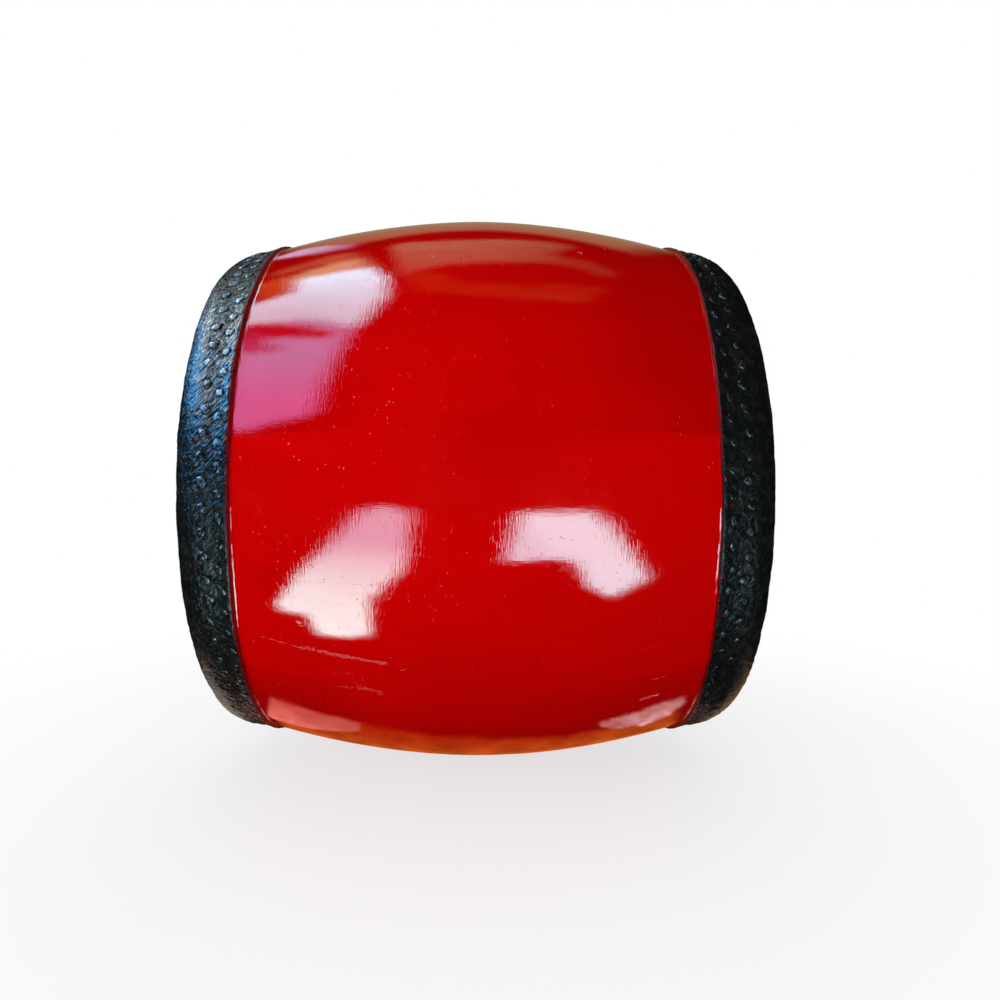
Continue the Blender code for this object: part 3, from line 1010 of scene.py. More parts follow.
@dataclass
class Pegs:
    """The bamboo pegs of one end, hammered flat and painted over with the hide."""

    shape: DrumShape
    side: Side
    material: bpy.types.Material
    columns: int = 10
    sunk: float = 0.0004
    lean: float = 0.13
    corner_stray: float = 0.12
    edge_stray: float = 0.20
    rough: float = 0.00014
    seed: int = 77
    profile: tuple[Pair, ...] = (
        (0.50, -0.0090),
        (0.86, -0.0012),
        (1.04, 0.05),
        (0.93, 0.58),
        (0.68, 0.90),
        (0.34, 1.00),
    )

    def build(self) -> bpy.types.Object:
        """Builds the pegs, each a shank and a worn round head.

        A head's rings follow the profile: a share of its radius across, and a share of its height up (below
        the hide, metres down). Each corner is pushed in or out by up to a third, and the head leans by a
        few degrees. The directions across a peg are round the drum and along the hide.

        Returns:
            The pegs as one piece.
        """
        rows = PegRows(self.shape, self.side)
        length, angle = rows.places()
        count = len(length)
        x, radius = self.shape.hide_at(length, -self.sunk)
        base = self.shape.place(self.side.value * x, radius, angle)
        path = self.shape.hide_path()
        out_x, out_radius = np.interp(length, path[0], path[3]), np.interp(length, path[0], path[4])
        down = self.shape.place(0.0, 1.0, angle) - (0.0, 0.0, self.shape.axis_height)
        out = out_radius[:, None] * down + self.side.value * out_x[:, None] * np.array([1.0, 0.0, 0.0])
        around = np.stack([0.0 * angle, np.cos(angle), np.sin(angle)], axis=-1)
        along = np.cross(out, around)
        lean_around, lean_along = (rows.random(-self.lean, self.lean, seed)[:, None] for seed in (3, 4))
        out = out + (lean_around * around + lean_along * along)
        out /= np.linalg.norm(out, axis=1)[:, None]
        share, level = np.array(self.profile).T
        head_radius, head_height = rows.random(*rows.radius, 5), rows.random(*rows.height, 6)
        height = np.where(level > 0.0, level * (head_height[:, None] + self.sunk), level)
        turn = np.arange(self.columns) * (tau / self.columns)
        source = np.random.default_rng(self.seed + self.side.value)
        uneven = 1.0 + source.uniform(-self.corner_stray, self.corner_stray, (count, len(share), self.columns))
        uneven = uneven + source.uniform(-self.edge_stray, self.edge_stray, (count, 1, self.columns))
        across = head_radius[:, None, None] * share[:, None] * uneven
        rough = source.uniform(-self.rough, self.rough, (count, len(share), self.columns))
        up = height[:, :, None] + rough * (level > 0.5)[:, None]
        points = (
            base[:, None, None, :]
            + (across * np.cos(turn))[..., None] * around[:, None, None, :]
            + (across * np.sin(turn))[..., None] * along[:, None, None, :]
            + up[..., None] * out[:, None, None, :]
        )
        ends = np.stack([np.full(count, self.profile[0][1]), 1.02 * head_height + self.sunk], axis=-1)
        poles = base[:, None, :] + ends[..., None] * out[:, None, :]
        corners = np.concatenate([points.reshape(-1, 3), poles.reshape(-1, 3)])
        faces = bead_faces(count, len(share), self.columns, flip=False)
        piece = make_piece(f"pegs_{self.side.word}", corners, faces, self.material)
        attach(piece, BODY)
        return piece


@dataclass(frozen=True)
class Trail:
    """Dried drops strewn from one place (x, degrees round the axis) to another."""

    start: Pair
    end: Pair
    drops: int
    spread: float
    size: Pair
    stretch: float
    top: float = 0.95


@dataclass
class Drops:
    """Trails and single drops of dried lacquer that stand up from the barrel's skin, and dust caught in it."""

    barrel: Barrel
    material: bpy.types.Material
    columns: int = 8
    profile: tuple[float, ...] = (1.0, 0.8, 0.45)
    sink: float = 0.00006
    depth: float = 0.0003
    skin_radius: float = 0.245
    stray_heading: float = 0.12
    seed: int = 500
    dust: int = 420
    dust_size: Pair = (0.00010, 0.00030)
    dust_length: Pair = (1.0, 1.8)
    dust_reach: float = 0.160
    dust_top: float = 0.95
    trails: tuple[Trail, ...] = (
        Trail((-0.156, -62.4), (-0.124, -61.1), 46, 0.0003, (0.00015, 0.00034), 3.0),
        Trail((-0.126, -61.3), (-0.090, -60.3), 120, 0.0010, (0.00022, 0.00060), 2.2),
        Trail((-0.100, -60.5), (-0.062, -59.5), 130, 0.0008, (0.00022, 0.00065), 2.4),
        Trail((0.0995, -60.1), (0.150, -62.3), 46, 0.0003, (0.00014, 0.00032), 2.0),
        Trail((-0.140, -74.4), (-0.050, -74.4), 90, 0.00012, (0.00008, 0.00013), 9.0),
        Trail((0.129, -52.9), (0.142, -53.2), 34, 0.0004, (0.00015, 0.00030), 3.2),
        Trail((0.125, -46.9), (0.140, -48.0), 60, 0.0010, (0.00018, 0.00036), 4.5),
        Trail((-0.103, -52.6), (-0.090, -52.9), 24, 0.0008, (0.00012, 0.00026), 4.5),
        Trail((-0.087, -53.4), (-0.067, -52.0), 90, 0.0017, (0.00012, 0.00030), 4.0),
        Trail((-0.104, -56.0), (-0.087, -56.6), 14, 0.0008, (0.00012, 0.00024), 4.0),
        Trail((-0.0535, -58.1), (-0.0500, -58.5), 7, 0.0005, (0.00040, 0.00085), 1.4),
        Trail((-0.0500, -58.6), (-0.0425, -59.8), 10, 0.0005, (0.00015, 0.00030), 2.0),
        Trail((-0.1262, -66.5), (-0.1215, -65.9), 7, 0.0004, (0.00090, 0.00150), 1.6),
        Trail((-0.1243, -66.3), (-0.1235, -66.2), 1, 0.0, (0.0019, 0.0020), 1.9, 0.25),
        Trail((0.0790, -138.8), (0.0828, -138.4), 9, 0.0012, (0.00040, 0.00080), 1.3),
        Trail((-0.0270, -140.4), (-0.0240, -140.2), 4, 0.0007, (0.00030, 0.00065), 1.5),
        Trail((-0.0350, -135.6), (-0.0320, -134.8), 5, 0.0006, (0.00025, 0.00055), 1.8),
        Trail((-0.0130, -133.6), (-0.0030, -134.2), 9, 0.0010, (0.00025, 0.00060), 1.6),
        Trail((0.0185, -136.9), (0.0200, -136.6), 3, 0.0005, (0.00030, 0.00060), 1.4),
        Trail((0.1000, -142.0), (0.1100, -142.4), 8, 0.0008, (0.00020, 0.00050), 2.2),
    )

    def places(self) -> tuple[np.ndarray, ...]:
        """Where each drop lies and what it measures.

        Along a trail the drops' places are random, and aside of it they follow a bell curve. The dust is
        spread evenly over the barrel between the strips.

        Returns:
            The drops' x, angle, half width, half length, heading and the share of its width that each rises.
        """
        source = np.random.default_rng(self.seed)
        rows = []
        for trail in self.trails:
            (start_x, start_angle), (end_x, end_angle) = trail.start, trail.end
            way = source.uniform(0.0, 1.0, trail.drops)
            aside = source.normal(0.0, trail.spread, trail.drops)
            x = start_x + (end_x - start_x) * way
            angle = np.radians(start_angle + (end_angle - start_angle) * way) + aside / self.skin_radius
            size = source.uniform(*trail.size, trail.drops)
            slope = np.radians(end_angle - start_angle) * self.skin_radius / (end_x - start_x)
            heading = np.arctan(slope) + source.normal(0.0, self.stray_heading, trail.drops)
            rows.append(np.stack([x, angle, size, size * trail.stretch, heading, trail.top + 0.0 * size]))
        least, most = self.dust_size
        size = source.uniform(0.0, 1.0, self.dust) ** 2 * (most - least) + least
        x = source.uniform(-self.dust_reach, self.dust_reach, self.dust)
        angle, heading = source.uniform(0.0, tau, self.dust), source.uniform(0.0, pi, self.dust)
        longer = size * source.uniform(*self.dust_length, self.dust)
        rows.append(np.stack([x, angle, size, longer, heading, self.dust_top + 0.0 * size]))
        return tuple(np.concatenate(rows, axis=1))

    def build(self) -> bpy.types.Object:
        """Builds the drops, each a low dome.

        A dome's rings lie at shares r of its half length and half width, and its height over the skin is
        1 - r^2 of its top. Its underside ends a little below the skin.

        Returns:
            The drops as one piece.
        """
        shape = self.barrel.shape
        x, angle, width, length, heading, top = (value[:, None, None] for value in self.places())
        ring = np.array(self.profile)[:, None]
        turn = np.arange(self.columns) * (tau / self.columns)
        ahead, aside = length * ring * np.cos(turn), width * ring * np.sin(turn)
        at_x = x + ahead * np.cos(heading) - aside * np.sin(heading)
        at_angle = angle + (ahead * np.sin(heading) + aside * np.cos(heading)) / shape.belly_radius
        rise = top * width * (1.0 - ring**2) - self.sink
        points = shape.place(at_x, self.barrel.skin(at_x, at_angle) + rise, at_angle)
        ends = np.concatenate([np.full_like(width, -self.depth), top * width], axis=1)
        poles = shape.place(x, self.barrel.skin(x, angle) + ends, angle)
        corners = np.concatenate([points.reshape(-1, 3), poles.reshape(-1, 3)])
        faces = bead_faces(len(points), ring.size, self.columns, flip=True)
        piece = make_piece("lacquer_drops", corners, faces, self.material)
        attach(piece, BODY)
        return piece


@dataclass
class Dowels:
    """The bamboo dowels inside the staves, which keep their own solids."""

    finish: Bamboo = field(default_factory=Bamboo)

    def dress(self, shape: DrumShape) -> int:
        """Gives each dowel its bamboo.

        Args:
            shape: Outline of the drum, for its axis.

        Returns:
            The number of dowels.
        """
        material = self.finish.material(shape)
        dowels = [node for name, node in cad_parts.items() if name.startswith("dowel_")]
        for dowel in dowels:
            for slot in dowel.material_slots:
                slot.material = material
        return len(dowels)


def outline_depth(points: np.ndarray, outline: np.ndarray) -> np.ndarray:
    """Distance of flat points inside a closed outline, below 0 outside it.

    The distance is the least to any straight piece of the outline. A point is inside where a level line
    from it crosses the outline an odd number of times.

    Args:
        points: Points, in rows of two.
        outline: The outline's corners, in rows of two.

    Returns:
        Distances.
    """
    way = np.roll(outline, -1, axis=0) - outline
    off = points[:, None, :] - outline
    share = np.clip((off * way).sum(axis=-1) / (way**2).sum(axis=-1), 0.0, 1.0)
    distance = np.linalg.norm(off - share[..., None] * way, axis=-1).min(axis=1)
    passes = (off[..., 1] < 0.0) != (off[..., 1] < way[..., 1])
    level = np.where(way[..., 1] == 0.0, 1.0, way[..., 1])
    crosses = passes & (off[..., 0] < way[..., 0] * off[..., 1] / level)
    return np.where(crosses.sum(axis=1) % 2 == 1, distance, -distance)


def show_in_gloss_only(piece: bpy.types.Object) -> None:
    """Makes a piece of the studio show in reflections and nowhere else."""
    piece.visible_camera = False
    piece.visible_diffuse = False
    piece.visible_transmission = False
    piece.visible_volume_scatter = False
    piece.visible_shadow = False


@dataclass(frozen=True)
class Card:
    """A soft-edged studio card that shows only in gloss, with a glow that changes across it.

    Its outline has three numbers to a corner on a dome round the drum, and two on a card over the floor.
    """

    name: str
    outline: tuple[tuple[float, ...], ...]
    low_colour: Colour
    high_colour: Colour
    fade_axis: int = 2
    fade: Pair = (0.0, 1.0)
    soft: float = 0.03
    ragged: float = 0.0
    mottle: float = 0.25
    grain: float = 6.0
    streak: float = 1.0
    reach: float = 0.006
    cells: int = 72

    def material(self) -> bpy.types.Material:
        """A glow that fades between two colours, frays at its edge and lets the rest be seen past it."""
        nodes = NodeTree(bpy.data.materials.new(self.name))
        streaked = {"Vector": nodes.place(), "Scale": (self.streak, 1.0, 1.0)}
        noise = nodes.noise(nodes.add("ShaderNodeMapping", streaked).outputs[0], self.grain, 4.0, 0.65)
        share = nodes.span(nodes.parts()[self.fade_axis], *self.fade)
        strength = nodes.span(noise, 0.25, 0.75, 1.0 - self.mottle, 1.0 + self.mottle)
        glow = nodes.glow(nodes.mix(share, self.low_colour, self.high_colour), strength)
        depth = nodes.add("ShaderNodeAttribute", {}, attribute_name="depth").outputs["Fac"]
        frayed = nodes.math("ADD", depth, nodes.times(nodes.math("SUBTRACT", noise, 0.5), self.ragged))
        clear = nodes.add("ShaderNodeBsdfTransparent", {}).outputs[0]
        return nodes.surface(nodes.blend(nodes.span(frayed, -0.5 * self.soft, self.soft), clear, glow))

    def build(self, centre: np.ndarray) -> bpy.types.Object:
        """Builds the card as a net over its outline, with each corner's depth inside the outline.

        A card on the dome is flattened for this on the plane that touches the dome at the outline's middle,
        and its net is carried back from there along the lines to the centre.

        Args:
            centre: Middle of the dome.

        Returns:
            The card.
        """
        outline = np.array(self.outline)
        domed = outline.shape[1] == 3
        if domed:
            rays = outline - centre
            middle = rays.mean(axis=0) / np.linalg.norm(rays.mean(axis=0))
            level = np.cross((0.0, 0.0, 1.0), middle)
            level /= np.linalg.norm(level)
            upright = np.cross(middle, level)
            outline = np.stack([rays @ level, rays @ upright], axis=1) / (rays @ middle)[:, None]
        margin = (2.0 * self.soft + self.ragged) / (self.reach if domed else 1.0)
        low, high = outline.min(axis=0) - margin, outline.max(axis=0) + margin
        u, v = np.meshgrid(*np.linspace(low, high, self.cells).T, indexing="ij")
        flat = np.stack([u.ravel(), v.ravel()], axis=1)
        depth = outline_depth(flat, outline)
        if domed:
            rays = middle + flat[:, :1] * level + flat[:, 1:] * upright
            points = centre + self.reach * rays / np.linalg.norm(rays, axis=1)[:, None]
            depth = depth * self.reach
        else:
            points = np.concatenate([flat, np.full((len(flat), 1), self.reach)], axis=1)
        corner = np.arange(self.cells**2).reshape(self.cells, self.cells)
        faces = np.stack([corner[:-1, :-1], corner[1:, :-1], corner[1:, 1:], corner[:-1, 1:]], axis=-1)
        piece = make_piece(self.name, points, [faces.reshape(-1, 4)], self.material())
        piece.data.attributes.new("depth", "FLOAT", "POINT").data.foreach_set("value", depth.astype(np.float32))
        show_in_gloss_only(piece)
        return piece


@dataclass(frozen=True)
class DomeCard(Card):
    """A card on the dome, whose noise is drawn out along X as brushed lacquer draws out what it mirrors."""

    soft: float = 0.015
    grain: float = 26.0
    streak: float = 0.3
    reach: float = 2.2


@dataclass(frozen=True)
class PatchCard(Card):
    """A bright patch of floor with a sharp, frayed outline."""

    fade_axis: int = 1
    soft: float = 0.006
    ragged: float = 0.024
    mottle: float = 0.08
    grain: float = 55.0


@dataclass(frozen=True)
class GroundCard(Card):
    """A dim stretch of floor close to the drum."""

    fade_axis: int = 1
    soft: float = 0.02
    ragged: float = 0.05
    mottle: float = 0.5
    grain: float = 25.0
    reach: float = 0.004


@dataclass(frozen=True)
class Lamp:
    """A soft square lamp that looks at the drum and leaves no mirror image."""

    name: str
    place: Point
    size: float
    power: float

    def build(self, centre: np.ndarray) -> bpy.types.Object:
        """Adds the lamp, turned towards the centre."""
        data = bpy.data.lights.new(self.name, "AREA")
        data.size, data.energy = self.size, self.power
        lamp = bpy.data.objects.new(self.name, data)
        lamp.location = self.place
        lamp.rotation_euler = (Vector(centre) - Vector(self.place)).to_track_quat("-Z", "Y").to_euler()
        lamp.visible_glossy = False
        lamp.visible_camera = False
        bpy.context.scene.collection.objects.link(lamp)
        return lamp


@dataclass
class Studio:
    """A pale floor in a white room, soft lamps, and the cards that the lacquer mirrors."""

    shape: DrumShape
    columns: int = 96
    floor_radius: float = 8.0
    floor_rings: int = 11
    floor_colour: Colour = (0.90, 0.90, 0.90)
    white: Colour = (1.0, 1.0, 1.0)
    fade: Pair = (0.10, 0.80)
    least_glow: float = 0.70
    room_light: float = 0.50
    tent_radius: float = 2.6
    tent_rings: int = 40
    tent_angles: Pair = (-6.0, 86.0)
    tent_colour: Colour = (0.004, 0.003, 0.003)
    wall_colour: Colour = (0.30, 0.34, 0.19)
    wall_top: Pair = (2.25, 2.35)
    ground_radius: float = 2.75
    ground_corners: int = 32
    lamps: tuple[Lamp, ...] = (
        Lamp("top_lamp", (0.0, -0.2, 2.7), 2.6, 6.0),
        Lamp("left_lamp", (-2.1, -1.4, 0.55), 1.4, 31.0),
        Lamp("front_lamp", (0.3, -2.3, 0.16), 1.6, 28.5),
        Lamp("back_lamp", (0.3, 2.3, 0.70), 1.6, 24.0),
    )
    cards: tuple[Card, ...] = (
        DomeCard(
            "sky_card",
            (
                (-0.60, -0.39, 2.33), (-0.77, -0.77, 2.16), (-0.83, -0.82, 2.12), (-1.09, -0.46, 2.11),
                (-1.26, -0.37, 2.01), (-1.36, -0.21, 1.98), (-1.28, 0.14, 2.04), (-1.10, 0.12, 2.15),
                (-1.05, 0.19, 2.17), (-1.04, 0.36, 2.16), (-1.00, 0.42, 2.16), (-0.93, 0.44, 2.20),
                (-0.61, 0.34, 2.33), (-0.56, -0.11, 2.38),
            ),
            (4.1, 6.5, 8.0), (5.0, 9.4, 11.4), fade_axis=0, fade=(-1.25, -0.75), ragged=0.16, mottle=0.16,
        ),
        DomeCard(
            "haze_card",
            (
                (-0.83, -0.82, 2.12), (-1.13, -1.60, 1.25), (-1.18, -1.60, 1.18), (-1.42, -1.47, 1.06),
                (-1.53, -1.41, 0.95), (-1.60, -1.30, 1.00), (-1.52, -0.92, 1.55), (-1.45, -0.67, 1.77),
                (-1.32, -0.22, 2.00), (-1.26, -0.37, 2.01), (-1.09, -0.46, 2.11),
            ),
            (4.9, 2.1, 5.7), (2.6, 3.3, 6.7), fade=(1.25, 1.95), ragged=0.09, mottle=0.10, reach=2.24,
        ),
        DomeCard(
            "roof_card",
            (
                (-1.37, -0.22, 1.96), (-1.20, -0.39, 2.05), (-1.15, -0.53, 2.05), (-1.02, -0.67, 2.06),
                (-0.94, -0.82, 2.03), (-1.02, -0.90, 1.97), (-1.16, -0.74, 1.98), (-1.22, -0.68, 1.95),
                (-1.28, -0.63, 1.92), (-1.32, -0.65, 1.89), (-1.24, -0.79, 1.89), (-1.23, -0.86, 1.86),
                (-1.31, -0.84, 1.81), (-1.46, -0.62, 1.79),
            ),
            (1.5, 0.2, 0.9), (1.6, 0.02, 0.12), fade=(1.85, 1.95), ragged=0.34, grain=24.0, streak=0.25,
            reach=2.14,
        ),
        Card(
            "sunset_card",
            (
                (-1.12, 0.61, 2.04), (-1.06, 0.61, 2.08), (-1.01, 0.55, 2.13), (-0.64, 0.69, 2.24),
                (-0.61, 0.34, 2.33), (-1.00, 0.38, 2.18), (-1.05, 0.15, 2.18), (-1.12, 0.12, 2.15),
                (-1.24, 0.18, 2.08),
            ),
            (1.7, 0.42, 0.08), (2.6, 2.2, 1.2), fade_axis=0, fade=(-1.05, -0.95), ragged=0.32, mottle=0.45,
            grain=24.0, streak=0.25, reach=2.18,
        ),
        DomeCard(
            "brown_streak_card",
            (
                (-1.06, 0.80, 2.00), (-0.97, 0.88, 2.02), (-0.88, 0.91, 2.05), (-0.76, 0.92, 2.10),
                (-0.67, 0.89, 2.15), (-0.62, 0.78, 2.21), (-0.70, 0.65, 2.23), (-0.82, 0.69, 2.17),
                (-0.93, 0.71, 2.11), (-1.03, 0.62, 2.09),
            ),
            (0.6, 0.24, 0.12), (0.75, 0.34, 0.16), soft=0.03, ragged=0.25, mottle=0.5, grain=10.0,
        ),
        DomeCard(
            "mauve_card",
            (
                (-0.92, 1.39, 1.68), (-0.78, 1.48, 1.68), (-0.71, 1.41, 1.78), (-0.67, 1.32, 1.88),
                (-0.61, 1.20, 1.99), (-0.63, 1.05, 2.07), (-0.71, 1.10, 2.02), (-0.78, 1.13, 1.97),
                (-0.85, 1.18, 1.90),
            ),
            (1.0, 1.1, 1.6), (0.75, 0.6, 1.0), fade=(1.85, 2.0), soft=0.018, ragged=0.12, grain=16.0,
            streak=0.25,
        ),
        DomeCard(
            "ceiling_card",
            (
                (-0.45, 0.90, 2.21), (-0.36, 0.97, 2.19), (-0.20, 0.92, 2.24), (0.02, 0.91, 2.25),
                (0.39, 1.02, 2.16), (0.52, 0.97, 2.15), (0.43, 0.61, 2.32), (0.53, 0.55, 2.31),
                (0.64, 0.56, 2.28), (0.81, 0.34, 2.27), (0.78, 0.22, 2.29), (0.67, 0.25, 2.33),
                (0.55, 0.36, 2.35), (0.41, 0.35, 2.38), (0.27, 0.29, 2.41), (-0.23, 0.19, 2.43),
                (-0.41, 0.08, 2.41), (-0.46, -0.02, 2.40),
            ),
            (0.45, 0.66, 0.38), (0.10, 0.20, 0.10), fade_axis=0, fade=(0.0, 0.65), soft=0.006, ragged=0.05,
            mottle=0.30, grain=7.0,
        ),
        DomeCard(
            "beam_card",
            (
                (-0.44, 0.20, 2.40), (-0.12, -0.21, 2.44), (0.35, -0.20, 2.41), (0.53, -0.14, 2.38),
                (0.65, -0.17, 2.35), (0.78, -0.02, 2.31), (0.77, -0.31, 2.29), (0.61, -0.47, 2.31),
                (0.37, -0.55, 2.35), (-0.12, -0.48, 2.39), (-0.31, -0.36, 2.40), (-0.42, -0.20, 2.40),
            ),
            (0.36, 0.10, 0.02), (0.50, 0.17, 0.03), fade_axis=0, fade=(-0.2, 0.5), soft=0.03, ragged=0.30,
            mottle=0.7, grain=6.5,
        ),
        Card(
            "blue_sky_card",
            (
                (-1.62, -1.30, 1.06), (-1.88, -0.90, 1.02), (-2.08, -0.40, 1.05), (-2.05, 0.30, 1.15),
                (-1.80, 0.60, 1.40), (-1.55, 0.60, 1.75), (-1.40, 0.25, 1.98), (-1.42, -0.20, 1.95),
                (-1.52, -0.60, 1.76), (-1.66, -1.18, 1.15),
            ),
            (0.8, 15.0, 36.0), (17.5, 20.0, 19.0), fade=(1.35, 1.7), soft=0.08, ragged=0.25, mottle=0.35,
            grain=4.0, reach=2.26,
        ),
        PatchCard(
            "left_floor_card",
            (
                (-0.700, -1.736), (-0.677, -1.927), (-0.423, -1.655), (-0.166, -0.648), (-0.149, -0.539),
                (-0.159, -0.394), (-0.128, -0.293), (-0.152, -0.283), (-0.193, -0.278), (-0.224, -0.320),
                (-0.263, -0.311), (-0.284, -0.330), (-0.360, -0.665),
            ),
            (6.2, 7.9, 10.6), (11.2, 18.2, 18.0), fade=(-0.80, -0.30), soft=0.005, ragged=0.020, cells=110,
        ),
        PatchCard(
            "right_floor_card",
            (
                (0.234, -1.558), (0.385, -1.661), (0.478, -1.576), (0.607, -1.609), (0.667, -1.523),
                (0.518, -1.041), (0.303, -0.442), (0.203, -0.384), (0.185, -0.444), (0.202, -0.582),
                (0.184, -0.610), (0.142, -0.618), (0.058, -0.605),
            ),
            (8.0, 12.8, 15.4), (9.6, 15.8, 17.8), fade_axis=0, fade=(0.12, 0.25), cells=110,
        ),
        PatchCard(
            "back_left_floor_card",
            (
                (0.30, 0.52), (0.44, 1.05), (0.40, 1.55), (0.26, 1.20), (0.17, 0.80),
            ),
            (4.5, 6.0, 7.5), (8.0, 12.0, 13.0), fade=(0.5, 1.2), soft=0.05,
        ),
        PatchCard(
            "back_right_floor_card",
            (
                (-0.10, 0.82), (-0.29, 0.54), (-0.42, 1.10), (-0.30, 1.45), (-0.12, 1.05),
            ),
            (4.5, 6.0, 7.5), (8.0, 12.0, 13.0), fade=(0.5, 1.2), soft=0.05,
        ),
        PatchCard(
            "red_floor_card",
            (
                (-0.195, -0.126), (0.0, -0.126), (0.08, -0.108), (0.200, -0.100), (0.200, 0.12),
                (-0.195, 0.12),
            ),
            (0.86, 0.12, 0.015), (0.72, 0.14, 0.018), fade=(-0.12, -0.07), soft=0.012, ragged=0.016,
            mottle=0.45, grain=22.0, reach=0.0045,
        ),
        GroundCard(
            "left_brown_card",
            (
                (-0.36, -0.085), (-0.30, -0.10), (-0.222, -0.09), (-0.222, 0.10), (-0.36, 0.10),
            ),
            (1.5, 1.2, 0.95), (0.5, 0.38, 0.30), fade=(-0.10, 0.0),
        ),
        GroundCard(
            "right_brown_card",
            (
                (0.222, 0.10), (0.222, -0.055), (0.30, -0.07), (0.36, -0.05), (0.36, 0.10),
            ),
            (0.6, 0.4, 0.25), (0.5, 0.30, 0.16), fade=(-0.06, 0.02),
        ),
        Card(
            "left_pink_card",
            (
                (-0.206, -0.121), (-0.183, -0.123), (-0.150, -0.125), (-0.129, -0.126), (-0.108, -0.126),
                (-0.108, -0.105), (-0.138, -0.083), (-0.170, -0.062), (-0.200, -0.056), (-0.206, -0.060),
            ),
            (2.05, 0.52, 0.42), (1.60, 0.44, 0.34), fade_axis=0, fade=(-0.19, -0.12), soft=0.003,
            ragged=0.006, grain=40.0,
        ),
        Card(
            "right_pink_card",
            (
                (0.112, -0.126), (0.137, -0.122), (0.158, -0.124), (0.180, -0.125), (0.208, -0.120),
                (0.211, -0.109), (0.197, -0.088), (0.176, -0.080), (0.156, -0.082), (0.126, -0.098),
            ),
            (1.15, 0.56, 0.54), (2.10, 1.25, 1.25), fade_axis=0, fade=(0.12, 0.16), soft=0.003, ragged=0.016,
            mottle=0.5, grain=60.0,
        ),
    )

    def seen(self, nodes: NodeTree) -> Socket:
        """1 where a camera, mirror or glass sees a surface, and 0 for the light that it gives others."""
        path = nodes.add("ShaderNodeLightPath", {}).outputs
        total = nodes.math("ADD", path["Is Camera Ray"], path["Is Glossy Ray"])
        return nodes.math("ADD", total, path["Is Transmission Ray"], clamp=True)

    def room(self) -> None:
        """Makes the white room: seen as plain white, and lighting the drum by a softer share."""
        nodes = NodeTree(bpy.data.worlds.new("white_room"))
        levels = {"Value": self.seen(nodes), "To Min": self.room_light, "To Max": 1.0}
        strength = nodes.add("ShaderNodeMapRange", levels).outputs["Result"]
        nodes.feed(nodes.nodes["Background"], {"Color": self.white, "Strength": strength})
        bpy.context.scene.world = nodes.owner

    def floor(self) -> bpy.types.Object:
        """Builds the floor: a disc in rings, pale by the drum and running out into the room's white."""
        rings, columns = self.floor_rings, self.columns
        turn = np.arange(columns) * (tau / columns)
        reach = self.floor_radius * np.linspace(1.0, 0.0, rings + 1)[:-1, None] ** 2
        points = np.stack([reach * np.cos(turn), reach * np.sin(turn), 0.0 * reach * turn], axis=-1)
        nodes = NodeTree(bpy.data.materials.new("pale_floor"))
        x, y, _ = nodes.parts()
        faded = nodes.span(nodes.distance(x, y), *self.fade, self.least_glow, 1.0)
        pale = nodes.add("ShaderNodeBsdfDiffuse", {"Color": self.floor_colour}).outputs[0]
        share = nodes.times(faded, self.seen(nodes))
        material = nodes.surface(nodes.blend(share, pale, nodes.glow(self.white)))
        pole = pole_faces(rings * columns, (rings - 1) * columns, columns, flip=False)
        faces = [ring_faces(rings, columns, closed=False, flip=False), pole]
        corners = np.concatenate([points.reshape(-1, 3), np.zeros((1, 3))])
        piece = make_piece("pale_floor", corners, faces, material)
        return piece

    def tent(self, centre: np.ndarray) -> bpy.types.Object:
        """Builds the dark tent that keeps the room's white out of the lacquer's colour.

        It is a sphere in rings from its floor to its top: radius times cosine across, times sine up. Behind
        the drum it carries a dull olive wall.

        Args:
            centre: Middle of the sphere.

        Returns:
            The tent.
        """
        rings, columns = self.tent_rings, self.columns
        rise = np.radians(np.linspace(*self.tent_angles, rings))[:, None]
        turn = np.arange(columns)[None, :] * (tau / columns)
        across, up = np.cos(rise), np.sin(rise) + 0.0 * turn
        points = centre + self.tent_radius * np.stack([across * np.cos(turn), across * np.sin(turn), up], axis=-1)
        nodes = NodeTree(bpy.data.materials.new("dark_tent"))
        x, y, z = nodes.parts()
        near_middle = nodes.span(nodes.math("ABSOLUTE", x), 0.75, 1.0, 1.0, 0.0)
        behind = nodes.times(nodes.span(y, 0.2, 0.5), near_middle)
        wall = nodes.times(behind, nodes.span(z, *self.wall_top, 1.0, 0.0))
        material = nodes.surface(nodes.glow(nodes.mix(wall, self.tent_colour, self.wall_colour)))
        pole = pole_faces(rings * columns, (rings - 1) * columns, columns, flip=True)
        faces = [ring_faces(rings, columns, closed=False, flip=True), pole]
        corners = np.concatenate([points.reshape(-1, 3), centre[None] + (0.0, 0.0, self.tent_radius)])
        piece = make_piece("dark_tent", corners, faces, material)
        show_in_gloss_only(piece)
        return piece

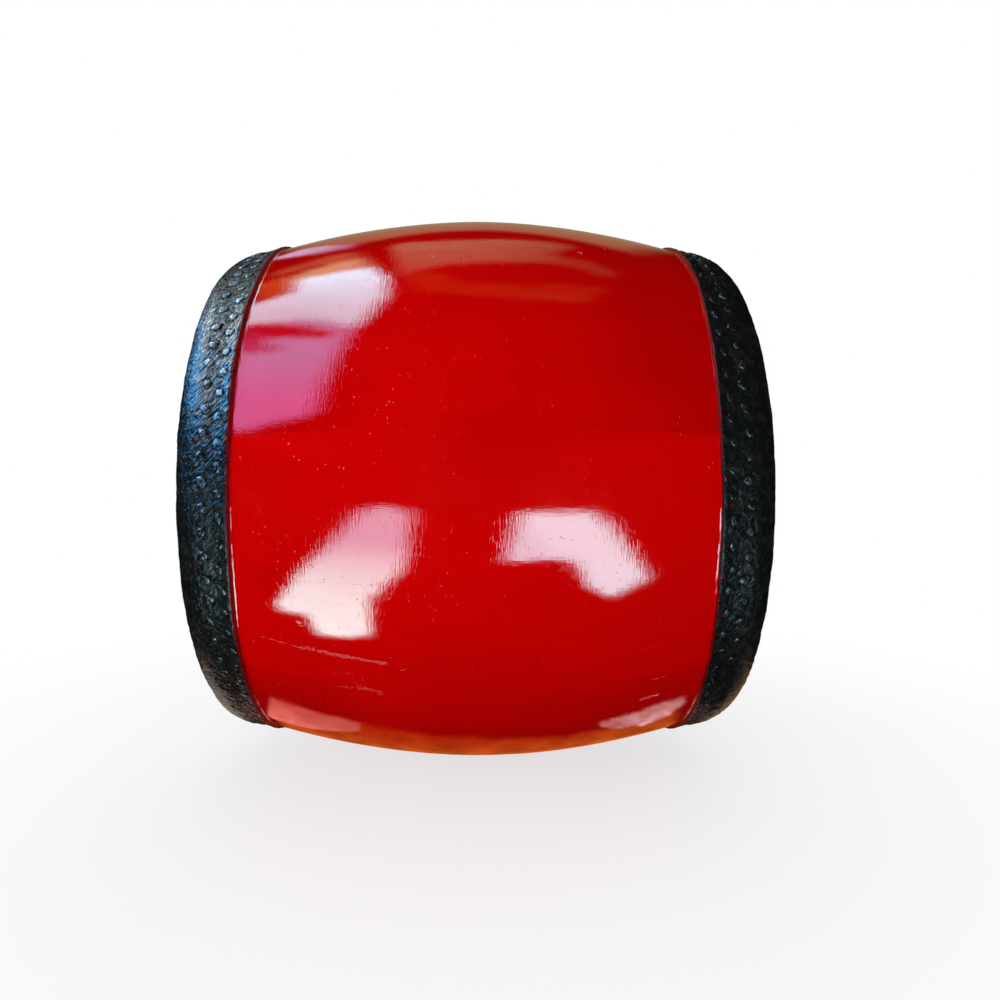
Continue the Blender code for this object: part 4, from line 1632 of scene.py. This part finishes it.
    def build(self) -> None:
        """Sets up the room, the floor, the tent, its cards and the lamps."""
        centre = np.array([0.0, 0.0, self.shape.axis_height])
        self.room()
        self.floor()
        self.tent(centre)
        turn = np.arange(self.ground_corners) * (tau / self.ground_corners)
        edge = tuple((self.ground_radius * float(np.cos(a)), self.ground_radius * float(np.sin(a))) for a in turn)
        ground = Card("dark_floor_card", edge, self.tent_colour, self.tent_colour, soft=0.02, reach=0.003)
        for part in (ground, *self.cards, *self.lamps):
            part.build(centre)


@dataclass(frozen=True)
class StudioCamera:
    """The photographer's camera, level with the drum's axis and close to it."""

    place: Point = (0.0013, -0.7347, 0.2474)
    lens: float = 26.59
    sensor: float = 36.0
    shift: Pair = (0.0224, -0.0086)
    sight: Pair = (0.01, 50.0)

    def build(self) -> bpy.types.Object:
        """Adds the camera, looking along +Y, and makes it the scene's."""
        data = bpy.data.cameras.new("studio_camera")
        data.lens, data.sensor_width, data.sensor_fit = self.lens, self.sensor, "AUTO"
        data.shift_x, data.shift_y = self.shift
        data.clip_start, data.clip_end = self.sight
        camera = bpy.data.objects.new("studio_camera", data)
        camera.location = self.place
        camera.rotation_euler = (pi / 2, 0.0, 0.0)
        bpy.context.scene.collection.objects.link(camera)
        bpy.context.scene.camera = camera
        return camera


def main() -> None:
    """Builds the drum's looks and the studio."""
    logging.basicConfig(level=logging.INFO, format="%(name)s: %(message)s")
    bpy.context.scene.view_settings.view_transform = "Standard"
    shape = DrumShape()
    barrel = Barrel(shape)
    lacquered = barrel.build()
    log.info("made %s", lacquered.name)
    log.info("made %s", Drops(barrel, lacquered.material_slots[0].material).build().name)
    painted_hide = PaintedHide().material(shape)
    pegs_paint = PaintedHide(name="black_painted_pegs", wrinkle_depth=0.00012, lump_depth=0.0002, shine=0.36)
    painted_pegs = pegs_paint.material(shape)
    for side in Side:
        log.info("made %s", DrumHead(shape, side, painted_hide).build().name)
        log.info("made %s", Pegs(shape, side, painted_pegs).build().name)
    log.info("dressed %d dowels", Dowels().dress(shape))
    StudioCamera().build()
    Studio(shape).build()


if __name__ == "__main__":
    main()
